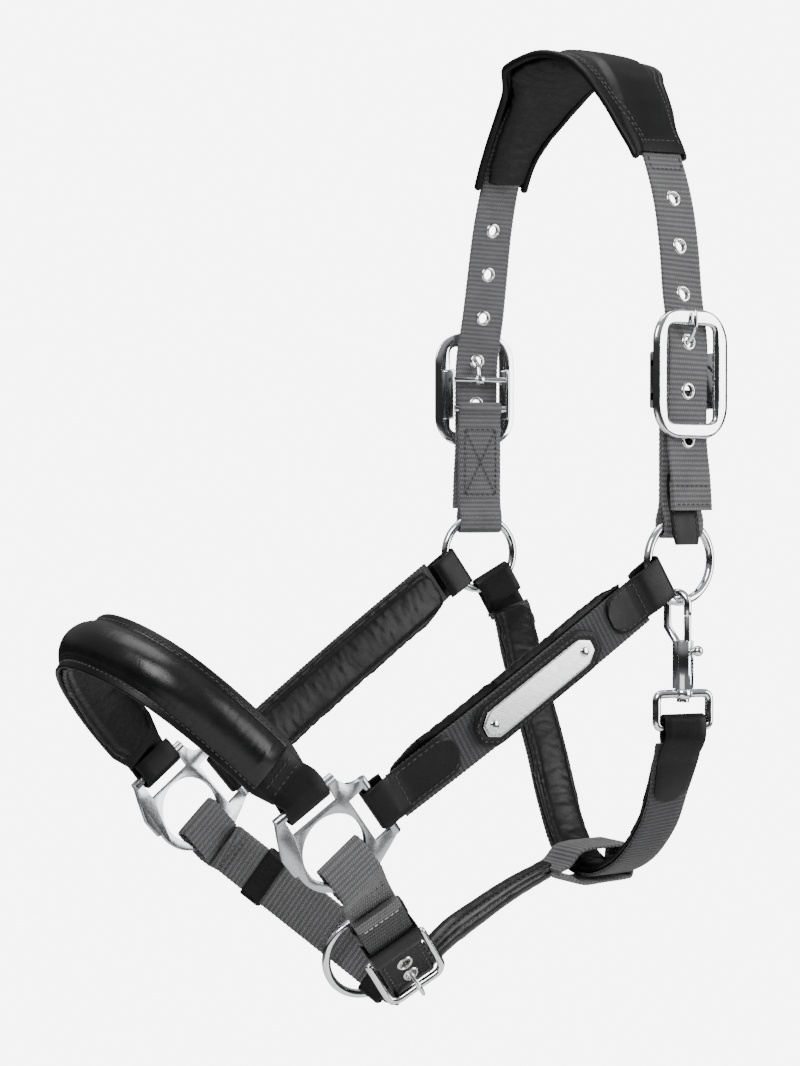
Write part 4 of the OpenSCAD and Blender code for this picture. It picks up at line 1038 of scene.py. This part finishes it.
def cheek_route(side):
    start = on_side(side, CHEEK_BAR)
    end = np.array((RING_X, RING_Y, RING_Z)) + RING_DIR * RING_R
    a, b = slot_along(1), RING_ACROSS
    if side == FAR:
        end = far_point(end * np.array((1, 1, 0)), 1) + np.array((0, 0, end[2]))
        a, b = flip(a), turn_z(b, FAR_TURN)
    stations = []
    for k in np.linspace(0, 1, 9):
        bow = np.array((side * 3 * math.sin(math.pi * k), 0, 0))
        stations.append((start + (end - start) * k + bow, -side * unit(a + (b - a) * k)))
    return Route(stations)


def chape(name, route, from_end, length, tip, slot_axes, wrap_r, reach):
    """Leather tab on a strap's outer face that folds round a bar at one end of its route.

    from_end is 0 or 1. slot_axes has X away from the bar along the strap, Z outward."""
    def f_at(mm):
        return route.f(mm if from_end == 0 else route.length - mm)
    across = slot_axes.y
    sign = np.sign(np.dot(route.frames(0.5)[2][0], across)) or 1
    path = [(route.at(f_at(mm), 0, OVER_WEB), route.frames(f_at(mm))[2][0] * sign)
            for mm in (length, length - 8, length * 0.6, 17)]
    path.append((route.at(f_at(10), 0, (OVER_WEB + wrap_r) / 2), across))
    for x, z in [(5.0, wrap_r)] + loop_points(-reach, wrap_r) + [(5.0, -wrap_r), (9.5, -2.4)]:
        path.append((slot_axes.at(x, 0, z), across))
    r = Route(path)
    f_tip = r.f(r.s(0) + 9)
    width = [(float(f_tip) * t, tip * 0.55 + (FOLD_W - tip * 0.55) * math.sqrt(1 - (1 - t) ** 2))
             for t in np.linspace(0, 1, 8)] + [(1.0, FOLD_W)]
    shape = Shape().ribbon(r, 0, 1, width, LEATHER_T, step=0.9, columns=7, edge=0.55)
    shape.make(name + "_piece", LEATHER, "leather", replaces=(name,))
    sewing = Shape()
    end = r.f(length - 13)
    lift = LEATHER_T / 2 + 0.05
    facing = 1 if np.dot(r.frames(0.1)[3][0], route.frames(0.5)[3][0]) > 0 else -1
    for across_by in (-1, 1):
        table = [(f, across_by * max(w / 2 - 2.2, 0)) for f, w in width]
        sewing.seam(r, 0.02, end, table, facing * lift)
    here = r.axes(end)
    sewing.line(here.at(0, -FOLD_W / 2 + 2, facing * lift),
                here.at(0, FOLD_W / 2 - 2, facing * lift), here.z * facing)
    sewing.make(name + "_stitching", THREAD, "leather")


def oriented(axes, outward):
    """The axes with Z on the outward side."""
    if np.dot(axes.z, outward) < 0:
        axes.z = -axes.z
    return axes


def cheekpiece(side):
    word = WORD[side]
    route = cheek_route(side)
    n = route.length
    Shape().ribbon(route, route.f(10), route.f(n - 12), WEB_W - 1, WEB_T, shift=CHEEK_SHIFT,
                   step=0.65, rib=0.12) \
        .make(word + "_cheek_webbing_piece", WEBBING_DARK, "webbing",
              replaces=(word + "_cheek_webbing",))
    p, d, a, o = (v[0] for v in route.frames(1.0))
    chape(word + "_upper_chape", route, 1, 34, 14, oriented(Axes(p, -d, a), o),
          WIRE_R + 0.9 + LEATHER_T / 2, 4.6)
    o0 = route.frames(0.0)[3][0]
    bar = on_side(side, slot_out(1))
    along = on_side(side, slot_along(1))
    start = on_side(side, CHEEK_BAR)
    chape(word + "_lower_chape", route, 0, 48, 10, oriented(Axes(start, bar, along), o0),
          BAR_R + 0.5 + LEATHER_T / 2, 0.6)
    top = -WEB_T / 2 - GAP
    width = [(0, 26), (0.12, 33), (0.88, 33), (1, 26)]
    strap_pad(word + "_cheek_padding_piece", route, route.f(12.5), route.f(n - 14.5),
              lambda f, s: over(width, [(s - 12) / (n - 26)])[0] / 2 - 0.8, width,
              (word + "_cheek_padding",), top)


def on_cheek(mm, lift):
    """Axes on the near cheekpiece's webbing, mm along from the nose fitting."""
    route = cheek_route(NEAR)
    return route.axes(route.f(mm)).moved(0, CHEEK_SHIFT, lift)


def plate_outline(length, w, point, grow=0.0):
    l, w = length / 2 + grow, w / 2 + grow
    return [(-l, -w * 0.4), (-l, w * 0.4), (-l + point, w), (l - point, w), (l, w * 0.4),
            (l, -w * 0.4), (l - point, -w), (-l + point, -w)]


def layered_plate(shape, axes, outline, layers):
    """Flat plate with rolled edges: layers are (height, inset)."""
    pts = np.array(outline, float)
    rings = []
    dense = []
    for a, b in zip(pts, np.roll(pts, -1, axis=0)):
        for t in (0.06, 0.5, 0.94):
            dense.append(a + (b - a) * t)
    dense = np.array(dense)
    half = abs(pts).max(axis=0)
    for height, inset in layers:
        scale = (half - inset) / half
        rings.append([axes.at(x * scale[0], y * scale[1], height) for x, y in dense])
    shape.skin(rings, np.linspace(0, 3, len(rings)))


def nameplate():
    length, w, thick = 74.0, 15.0, 1.0
    lift = WEB_T / 2 + 0.9
    axes = on_cheek(101, lift)
    patch = Shape()
    layered_plate(patch, axes, plate_outline(length + 10, w + 8, 8),
                  ((0, 0.5), (0.25, 0.1), (0.6, 0), (1.05, 0.1), (1.35, 0.5), (1.38, 3.0),
                   (1.28, 4.2)))
    patch.make("nameplate_patch_piece", LEATHER, "leather", replaces=("nameplate_patch",))
    sewing = Shape()
    edge = plate_outline(length + 10, w + 8, 8, -1.9)
    for a, b in zip(edge, edge[1:] + edge[:1]):
        if math.dist(a, b) > 2.5:
            sewing.line(axes.at(*a, 1.42), axes.at(*b, 1.42), axes.z)
    sewing.make("nameplate_stitching", THREAD, "leather")
    plate = Shape()
    base = axes.moved(0, 0, LEATHER_T)
    layered_plate(plate, base, plate_outline(length, w, 6),
                  ((0.02, 0.3), (0.2, 0.05), (0.6, 0), (0.85, 0.12), (1.0, 0.5), (1.02, 1.4)))
    plate.make("nameplate_piece", BRUSHED, "satin_metal", replaces=("nameplate",))
    rivets = Shape()
    for k in (-31, 31):
        spot = base.moved(k, 0, thick)
        rivets.lathe(spot, [(0, -0.1), (2.2, -0.1), (2.6, 0.1), (2.45, 0.4), (1.9, 0.72), (1.0, 0.9),
                            (0, 0.95)], 28, closed=False)
    rivets.make("nameplate_rivets_piece", CHROME, "chrome", replaces=("nameplate_rivets",))


# ---------- rings, loops and folds ----------


def wire_ring(name, axes, r, body):
    profile = [(r + WIRE_R * math.cos(t), WIRE_R * math.sin(t)) for t in TAU * np.arange(20) / 20]
    Shape().lathe(axes, profile, 96).make(name + "_piece", CHROME, "chrome", body, (name,), 0)


def keeper(name, axes, s0, length, width, low, high, wall, body=ROOT):
    """Leather loop round a strap, from s0 along X."""
    w, lo, hi = width / 2 + wall / 2, low - wall / 2, high + wall / 2
    r = 1.1
    path = [(0, lo), (-w + 3, lo), (-w + r, lo), (-w + 0.3, lo + 0.3), (-w, lo + r),
            (-w, (lo + hi) / 2), (-w, hi - r), (-w + 0.3, hi - 0.3), (-w + r, hi), (-w + 3, hi), (0, hi),
            (w - 3, hi), (w - r, hi), (w - 0.3, hi - 0.3), (w, hi - r), (w, (lo + hi) / 2),
            (w, lo + r), (w - 0.3, lo + 0.3), (w - r, lo), (w - 3, lo), (0, lo)]
    route = Route([(axes.at(s0 + length / 2, y, z), axes.x) for y, z in path])
    Shape().ribbon(route, 0, 1, length, wall, step=1.0) \
        .make(name + "_piece", LEATHER, "leather", body, (name,))


# ---------- noseband ----------

NOSE_RISE = np.array((0, -0.733, 0.680))
NOSE_ACROSS = np.array((0, 0.680, 0.733))
NOSE_BAR = slot_point(-1)
NOSE_POINTS = [(74.8, 0), (75.5, 20), (73.5, 45), (68, 68), (57, 88), (38, 102), (14, 108),
               (-9, 103), (-29, 88), (-46, 67), (-59, 45), (-68, 22), (-74.8, 0)]


def noseband_route():
    stations = []
    last = len(NOSE_POINTS) - 1
    for i, (x, h) in enumerate(NOSE_POINTS):
        across = NOSE_ACROSS
        if i == 0:
            across = slot_along(-1)
        elif i == last:
            across = flip(slot_along(-1))
        if np.dot(across, NOSE_ACROSS) < 0:
            across = -across
        stations.append((np.array((x, NOSE_BAR[1], NOSE_BAR[2])) + NOSE_RISE * h, across))
    return Route(stations)


def noseband():
    route = noseband_route()
    outward = 1 if np.dot(route.frames(0.5)[3][0], NOSE_RISE) > 0 else -1
    width = [(0, 24), (0.05, 24), (0.1, 31), (0.5, 33), (0.9, 31), (0.95, 24), (1, 24)]
    base = Shape().ribbon(route, 0.05, 0.95, width, 2.0, step=1.6, columns=7, edge=0.7)
    for end in (0, 1):
        sign = 1 if end == 0 else -1
        bar = Axes(route.at(end), on_side(sign, slot_out(-1)), on_side(sign, slot_along(-1)))
        bar = oriented(bar, route.frames(float(end))[3][0] * outward)
        across = bar.y if np.dot(bar.y, route.frames(0.5)[2][0]) > 0 else -bar.y
        path = [(route.at(0.5 - sign * (0.5 - k), 0, lift * outward),
                 route.frames(0.5 - sign * (0.5 - k))[2][0])
                for k, lift in ((0.12, 0), (0.09, 0.2), (0.06, 0.8))]
        path += [(bar.at(x, 0, z), across) for x, z in
                 [(8.0, 3.2), (5.0, 4.0)] + loop_points(-0.8, 4.0) + [(5.0, -4.0), (9.0, -3.0)]]
        base.ribbon(Route(path), 0, 1, 24, 2.0, step=1.2, edge=0.7)
    base.make("noseband_base_piece", LEATHER, "leather", replaces=("noseband_base",))

    # half-round padded core under a close leather cover
    shape = ((-12.6, 1.05), (-11.9, 1.25), (-11.2, 1.9), (-9.8, 3.7), (-7.6, 5.6), (-5.2, 6.9),
             (-2.6, 7.7), (0, 8.0), (2.6, 7.7), (5.2, 6.9), (7.6, 5.6), (9.8, 3.7), (11.2, 1.9),
             (11.9, 1.25), (12.6, 1.05))
    s = np.arange(route.s(0.1), route.s(0.9), 0.9)
    f = route.f(s)
    p, _, a, o = route.frames(f)
    o = o * outward
    grow = np.clip(np.minimum(s - s[0], s[-1] - s) / 9, 0, 1) ** 0.5
    fine = np.interp(np.linspace(0, 14, 57), np.arange(15), [q[0] for q in shape])
    high = np.interp(np.linspace(0, 14, 57), np.arange(15), [q[1] for q in shape])
    high = np.convolve(np.pad(high, 2, "edge"), np.ones(5) / 5, "valid")
    rings = []
    for i, sv in enumerate(s):
        ring = []
        for c, h in zip(fine, high):
            lift = 1.05 + (h - 1.05) * (0.35 + 0.65 * grow[i])
            slope = math.exp(-((abs(c) - 10.5) / 2.4) ** 2)
            crease = noise.noise(Vector((sv / 1.9, c / 7.0, 4.0)))
            fold = noise.noise(Vector((sv / 9.0, c / 8.0, 8.0)))
            wear = 0.35 + 0.65 * math.exp(-((f[i] - 0.17) / 0.07) ** 2)
            lift -= (0.42 * max(crease, -0.2) * (0.45 + slope) * wear - 0.18 * fold) * grow[i]
            ring.append(p[i] + a[i] * c + o[i] * max(lift, 1.02))
        ring += [p[i] + a[i] * 10 + o[i] * 0.9, p[i] - a[i] * 10 + o[i] * 0.9]
        rings.append(ring)
    core = Shape().skin(rings, s).make("noseband_core_piece", LEATHER_GLOSS, "leather",
                                       replaces=("noseband_core",), sharp=0)
    seams = Shape()
    for across in (-12.9, 12.9):
        seams.seam(route, 0.1, 0.9, across, 1.08 * outward, 2.9, 2.1)
    for f in (0.065, 0.085, 0.915, 0.935):
        here = route.axes(f)
        seams.line(here.at(0, -9.5, 1.3 * outward), here.at(0, 9.5, 1.3 * outward), here.z * outward)
    seams.make("noseband_stitching", THREAD, "leather")

    top = -1.0 - GAP
    width = [(0.07, 26), (0.12, 34), (0.88, 34), (0.93, 26)]
    lining = route if outward > 0 else Route([(q, -v) for q, v in zip(route.p[1:-1], route.a[1:-1])])
    strap_pad("noseband_lining_piece", lining, 0.075, 0.925,
              lambda f, s: over(width, [f])[0] / 2 - 0.9, width, ("noseband_lining",), top)


# ---------- chin strap ----------

CHIN_NEAR = np.array((70.5, -192.5, -409.5))
CHIN_SIDE = Axes(CHIN_NEAR, (-0.45, 0.62, -0.64), (0.309, 0.782, 0.541))
FAR_CHIN_SIDE = Axes((-70.5, -192.5, -409.5), (0.70, 0.47, -0.54), (0.28, 0.45, 0.80))
CHIN_LIFT, TAIL_S = 4.9, 28.0
INNER_BAR_S, OUTER_BAR_S, CHIN_BAR_R = 72.0, 96.0, 1.75
CHIN_EYELETS = (76.5, 87.5)
CHIN = Route([(CHIN_SIDE.at(s, 0, CHIN_LIFT), -CHIN_SIDE.y) for s in range(28, 94, 13)]
             + [((24.9, -131.7, -476.6), (-0.3, -0.65, -0.7))]
             + [(FAR_CHIN_SIDE.at(s, 0, 0), -FAR_CHIN_SIDE.y) for s in range(123, 0, -18)])


def rim_path(side, ply):
    """Webbing through a fitting's hole, as (point, across), from the outer ply to the inner."""
    x = CHIN_NEAR - HOLE
    plate = Axes(CHIN_NEAR, x, np.cross(np.cross(BACK, RISE), x))
    r = 3.7
    path = [(8.5, ply + 0.15), (3.5, r), (-4, r)] + \
        [(-11 - r * math.sin(t), r * math.cos(t)) for t in np.linspace(0.35, math.pi - 0.35, 5)] + \
        [(-4, -r), (3.5, -r), (8.5, -ply - 0.15)]
    points = [(plate.at(u, 0, v), plate.y) for u, v in path]
    return points if side == NEAR else [(flip(q), -flip(v)) for q, v in points]


def ply_side(rim, axes):
    """The side of the axes on which a rim path starts, and the sign of its across direction."""
    first, last = (np.dot(rim[k][0] - axes.o, axes.z) for k in (0, -1))
    return (1 if first > last else -1), (1 if np.dot(rim[0][1], axes.y) > 0 else -1)


def laid(axes, spots, lift, sign):
    """Stations along X of the axes at one lift."""
    return [(axes.at(s, 0, lift), axes.y * sign) for s in spots]


def chin_strap():
    holes = [(s - TAIL_S, 0.0, 3.2) for s in CHIN_EYELETS]
    Shape().ribbon(CHIN, CHIN.f(5.5), CHIN.f(56), WEB_W - 0.4, WEB_T, step=0.5, columns=31, rib=0.07,
                   holes=holes) \
        .make("chin_tail_piece", WEBBING_DARK, "webbing", replaces=("chin_strap",))
    Shape().ribbon(CHIN, 0, CHIN.f(7), WEB_W, 2.6, step=0.5, edge=1.2, rib=0.03) \
        .make("chin_tail_hem", WEBBING, "webbing")
    ply = WEB_T / 2 + 0.05
    web = Shape().ribbon(CHIN, CHIN.f(55.5), 0.72, WEB_W - 0.4, WEB_T, step=0.65, rib=0.13,
                         columns=31, holes=holes)
    far = rim_path(FAR, ply)
    side, sign = ply_side(far, FAR_CHIN_SIDE)
    spots = (88, 60, 35, 20, 12)
    stations = (laid(FAR_CHIN_SIDE, spots, side * ply, sign) + far
                + laid(FAR_CHIN_SIDE, spots[::-1], -side * ply, sign))
    web.ribbon(Route(stations), 0, 1, WEB_W - 0.4, WEB_T, step=0.65, rib=0.13)
    web.make("chin_strap_piece", WEBBING, "webbing", replaces=("chin_strap",))

    low = WEB_T / 2 + 0.1 + LEATHER_T / 2
    Shape().ribbon(CHIN, 0.17, 0.5, WEB_W - 1, LEATHER_T, lift=low, step=0.65, columns=31, edge=0.55,
                   holes=holes) \
        .make("chin_leather_piece", LEATHER, "leather", replaces=("chin_leather",))
    seams = Shape()
    for across in (-10.3, 10.3):
        seams.seam(CHIN, 0.18, 0.49, across, low + LEATHER_T / 2 + 0.02)
    seams.make("chin_leather_stitching", THREAD, "leather")
    thick = WEB_T + 0.1 + LEATHER_T
    rings = Shape()
    for s in CHIN_EYELETS:
        eyelet(rings, CHIN_SIDE.moved(s, 0, CHIN_LIFT + (thick - WEB_T) / 2), thick, 3.0)
    rings.make("chin_eyelets_piece", NICKEL, "chrome", replaces=("chin_eyelets",), sharp=0)

    near = rim_path(NEAR, ply)
    side, sign = ply_side(near, CHIN_SIDE)
    r = CHIN_BAR_R + 0.2 + 0.8
    bend = [(INNER_BAR_S + r * math.cos(t), -side * r * math.sin(t))
            for t in np.linspace(math.radians(-140), math.radians(140), 9)]
    stations = laid(CHIN_SIDE, (60, 40, 20), side * ply, sign) + near
    stations += laid(CHIN_SIDE, (20, 40, 60, 66), -side * ply, sign)
    stations += [(CHIN_SIDE.at(u, 0, v), CHIN_SIDE.y * sign) for u, v in bend[::-1]]
    stations += laid(CHIN_SIDE, (66, 60), side * ply, sign)
    route = Route(stations)
    q = route.curve(route.p, route.table[0])
    bar = CHIN_SIDE.at(INNER_BAR_S, 0, 0)
    slit = [(float(s), 0.0, 2.9) for s, c in zip(route.table[1][::6], q[::6])
            if np.linalg.norm(c - bar) < 3.8]
    Shape().ribbon(route, 0, 1, WEB_W - 0.4, WEB_T - 0.2, step=0.65, columns=17, rib=0.1, holes=slit) \
        .make("chin_buckle_chape_piece", WEBBING, "webbing", replaces=("chin_buckle_chape",))
    sewing = Shape()
    for axes, spots in ((CHIN_SIDE, (14, 17, 33)), (FAR_CHIN_SIDE, (14, 17, 84, 87))):
        for s in spots:
            for k in (-1, 1):
                h = 2 * ply + 0.02
                sewing.line(axes.at(s, -11, k * h), axes.at(s, 11, k * h), axes.z * k)
    sewing.make("chin_stitching", THREAD, "webbing")
    hem = Shape()
    here = CHIN.axes(CHIN.f(8.3))
    hem.line(here.at(0, -10.5, 1.02), here.at(0, 10.5, 1.02), here.z)
    hem.make("chin_tail_stitching", THREAD_PALE, "webbing")
    keeper("chin_rear_keeper", CHIN_SIDE, 38, 11, WEB_W + 0.6, -2.1, 2.1, 1.3)
    keeper("chin_front_keeper", CHIN_SIDE, 54, 12, WEB_W + 0.6, -2.1, 7.8, 1.3)
    keeper("chin_slider", FAR_CHIN_SIDE, 31, 12, WEB_W + 0.6, -2.1, 2.1, 1.3, "chin_slider")


def chin_buckle():
    half, out = WEB_W / 2 + 2.9, 10.2
    corners = [(INNER_BAR_S, -half, 0), (INNER_BAR_S + 5, -half, out * 5 / 24),
               (OUTER_BAR_S - 5, -half, out * 0.8), (OUTER_BAR_S - 1.5, -half + 1.5, out * 0.94),
               (OUTER_BAR_S, -half + 5, out), (OUTER_BAR_S, 0, out), (OUTER_BAR_S, half - 5, out),
               (OUTER_BAR_S - 1.5, half - 1.5, out * 0.94), (OUTER_BAR_S - 5, half, out * 0.8),
               (INNER_BAR_S + 5, half, out * 5 / 24), (INNER_BAR_S, half, 0)]
    frame_route = Route([(CHIN_SIDE.at(*c), CHIN_SIDE.z) for c in corners])
    bar = Route([(CHIN_SIDE.at(INNER_BAR_S, y, 0), CHIN_SIDE.z) for y in (-half, 0, half)])
    Shape().tube(frame_route, 0, 1, 2.0, 18, step=0.9).tube(bar, 0, 1, CHIN_BAR_R, 16) \
        .make("chin_buckle_frame_piece", CHROME, "chrome", replaces=("chin_buckle_frame",), sharp=0)
    points = [(2, 0.4), (12, 0.8), (16.6, 7.4), (19.4, 12), (24, 14), (27.5, 13.8)]
    eye = Axes(CHIN_SIDE.at(INNER_BAR_S, 0, 0), CHIN_SIDE.x, CHIN_SIDE.z)
    tongue("chin_buckle_tongue", "chin_tongue", eye, 2.9, 1.81, 4.6,
           [CHIN_SIDE.at(INNER_BAR_S + x, 0, z) for x, z in points], CHIN_SIDE.y)


def lead_ring():
    normal = np.array((0.956, -0.218, -0.197))
    wire_ring("lead_ring", Axes(FAR_CHIN_SIDE.at(105, 0, 0), FAR_CHIN_SIDE.y,
                                np.cross(normal, FAR_CHIN_SIDE.y)), RING_R, "lead_ring")


# ---------- jaw strap ----------


def jaw():
    route = Route([(p, (1, 0, 0)) for p in ((18, -119.5, -470), (15.5, -101, -458), (12, -79, -449),
                                            (9.5, -56, -440), (8.4, -36, -433.4), (8, -27, -431))])
    s = np.arange(0, route.length, 0.9)
    f = route.f(s)
    p, _, a, o = route.frames(f)
    radius = np.interp(f, (0, 0.26, 0.9, 1), (6, 7, 5.2, 2.6)) - 0.15
    angle = TAU * np.arange(48) / 48
    rings = []
    for i in range(len(s)):
        ring = []
        for t in angle:
            r = radius[i] + 0.16 * noise.noise(Vector((s[i] / 5, 3 * math.cos(t), 3 * math.sin(t))))
            seam_gap = abs((t - math.radians(25) + math.pi) % TAU - math.pi)
            r -= 0.8 * math.exp(-(seam_gap / 0.10) ** 2)
            ring.append(p[i] + a[i] * r * math.cos(t) + o[i] * r * math.sin(t))
        rings.append(ring)
    Shape().skin(rings, s) \
        .make("jaw_strap_piece", LEATHER_GLOSS, "leather", replaces=("jaw_strap",), sharp=0)
    seams = Shape()
    for turn in (25 - 17, 25 + 17):
        t = math.radians(turn)
        seams.seam(route, 0.05, 0.95, table(f, (radius + 0.1) * math.cos(t)),
                   table(f, (radius + 0.1) * math.sin(t)))
    seams.make("jaw_stitching", THREAD, "leather")
    keeper("jaw_front_loop", FAR_CHIN_SIDE, 112, 13, WEB_W + 1.4, -3.2, 3.2, LEATHER_T)
    loop = [(-31, -431.3), (-24, -428.6), (-16.8, -422.2), (-8, -420.6), (0, -420.5),
            (10, -420.5), (16.8, -420.9), (19.3, -424), (19.2, -431), (18.8, -437.6),
            (15, -438.9), (0, -439.2), (-15, -439.2), (-24, -434.6), (-31, -432.6)]
    Shape().ribbon(Route([((9.5, y, z), (1, 0, 0)) for y, z in loop]), 0, 1, WEB_W - 2, 1.9,
                   step=0.65, rib=0.1) \
        .make("jaw_throat_loop_piece", WEBBING, "webbing", replaces=("jaw_throat_loop",))


# ---------- throatlash ----------

SNAP = Axes((88.5, -7.2, -284), turn_z((1, 0, 0), 20), turn_z((0, 1, 0), 20))
BARREL_X, EYE_BOTTOM = 3.3, -64.5
SNAP_EYE = Axes(SNAP.at(BARREL_X, 0, 0), turn_z((1, 0, 0), -15), turn_z((0, 1, 0), -15))
THROAT_POINTS = [(91.6, -8, -351), (88, -7, -363), (78, -4, -384), (64, -1, -406), (42, 1, -426),
                 (14, 2, -436), (-10, 2, -427), (-26, 3, -402), (-38, 4, -375), (-50, 4, -349),
                 (-64, 6, -323), (-77, 10, -302.5), (-83.8, 11.5, -295.5), (-84.8, 8, -288)]
THROAT_TILT = math.radians(30)


def throat_across(i):
    if i < 2:
        return np.array((-0.26, -0.965, 0))
    if i > 11:
        return turn_z((0, -math.cos(THROAT_TILT), -math.sin(THROAT_TILT)), FAR_TURN)
    return -Y


THROAT = Route([(p, throat_across(i)) for i, p in enumerate(THROAT_POINTS)])


def throatlash():
    Shape().ribbon(THROAT, 0.04, 0.93, WEB_W, WEB_T, step=0.65, rib=0.1) \
        .make("throat_webbing_piece", WEBBING_DARK, "webbing", replaces=("throat_webbing",))
    top = -WEB_T / 2 - GAP
    width = [(0.05, 26), (0.12, 31), (0.86, 31), (0.91, 27)]
    strap_pad("throat_padding_piece", THROAT, 0.055, 0.905,
              lambda f, s: over(width, [f])[0] / 2 - 0.8, width, ("throat_padding",), top)
    far = drop(FAR)
    down = -(far.z * math.cos(THROAT_TILT) - far.y * math.sin(THROAT_TILT))
    ring = far.at(0, 0, RING_Z)
    across = far.y * math.cos(THROAT_TILT) + far.z * math.sin(THROAT_TILT)
    bar = oriented(Axes(ring + down * RING_R, down, across), THROAT.frames(1.0)[3][0])
    chape("throat_far_chape", THROAT, 1, THROAT.length - THROAT.s(0.82), 14, bar,
          WIRE_R + 0.7 + LEATHER_T / 2, 4.6)
    bar = oriented(Axes(SNAP_EYE.at(0, 0, EYE_BOTTOM), -SNAP_EYE.z, SNAP_EYE.y),
                   THROAT.frames(0.0)[3][0])
    chape("throat_near_chape", THROAT, 0, float(THROAT.s(0.165)), 7, bar, 2.6 + LEATHER_T / 2, 3.0)


def snap():
    half, r = 14.8, 2.2
    top, bottom = -47.2, EYE_BOTTOM
    loop = [(0, top), (half - 4, top), (half - 1.2, top - 0.6), (half, top - 3), (half, -56),
            (half, bottom + 3), (half - 1.2, bottom + 0.6), (half - 4, bottom), (0, bottom)]
    loop += [(-y, z) for y, z in loop[-2::-1]]
    route = Route([(SNAP_EYE.at(0, y, z), SNAP_EYE.x) for y, z in loop])
    eye = Shape().tube(route, 0, 1, r, 18, step=0.9, round_ends=False)
    boss = SNAP_EYE.moved(0, 0, top)
    eye.lathe(boss, [(1.95, -2.4), (3.9, -2.4), (4.6, -1.7), (4.6, 1.7), (3.9, 2.4), (1.95, 2.4)],
              40)
    eye.make("snap_eye_piece", CHROME, "chrome", replaces=("snap_eye",), sharp=50)
    low, high, turns = -40.5, -29.0, 7
    coil = Route([(SNAP.at(5.9 + 1.4 * math.cos(t), 1.4 * math.sin(t),
                           low + (high - low) * t / (TAU * turns)), SNAP.z)
                  for t in TAU * np.arange(turns * 12 + 1) / 12])
    spring = Shape().tube(coil, 0, 1, 0.28, 8, step=0.35) \
        .make("snap_spring_piece", SATIN, "satin_metal", "snap_hook", ("snap_spring",), 0)
    tuple(map(float, SNAP.at(5.9, 0, low - 0.3) * MM))
    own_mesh(spring)
    softened("snap_hook", CHROME, 0.3, "snap_hook", 40)
    softened("snap_bolt", CHROME, 0.3, "snap_bolt", 40)


# ---------- everything ----------


def kept_nodes():
    """Materials of the CAD nodes that stay showing."""
    for node in ("near_tongue_bar", "near_strap_bar", "far_tongue_bar", "far_strap_bar"):
        for slot in frame["nodes"][node].material_slots:
            slot.material = CHROME


def studio():
    camera()
    world()
    middle = (0.0, -0.05, -0.24)
    area_light("key", (1.1, -1.7, 1.0), middle, (1.1, 1.1), 48)
    area_light("side", (1.35, 1.15, 0.1), middle, (1.0, 1.7), 38)
    area_light("top", (-0.3, -0.2, 1.9), middle, (1.4, 1.4), 34)
    area_light("low", (0.9, -1.0, -0.95), middle, (1.2, 0.6), 3.5)
    floor = Shape().lathe(Axes((0, 0, -1050), (1, 0, 0), (0, 1, 0)),
                          [(0, 0), (1300, 0), (1300, -20), (0, -20)], 96, closed=False)
    n = Nodes("floor")
    where = n.coordinate("Object")
    color = n.ramp(n.noise(where, 2.0, 3), (0.3, 0.80), (0.7, 0.83))
    n.connect(Base_Color=color, Roughness=n.ramp(n.noise(where, 40), (0.3, 0.85), (0.7, 0.95)))
    floor.make("floor", n.mat, None, ride=False)


studio()
crown()
crown_pad()
headpiece()
for cheek_side in (NEAR, FAR):
    word = WORD[cheek_side]
    buckle_frame(cheek_side)
    cheek_tongue(cheek_side)
    buckle_chape(cheek_side)
    ring_axes = drop(cheek_side).moved(0, 0, RING_Z)
    wire_ring(word + "_cheek_ring", Axes(ring_axes.o, ring_axes.y, ring_axes.z), RING_R,
              word + "_ring")
    cheekpiece(cheek_side)
    softened(word + "_nose_fitting", SATIN, 0.8)
ring_tag()
nameplate()
noseband()
chin_strap()
chin_buckle()
lead_ring()
jaw()
throatlash()
snap()
kept_nodes()
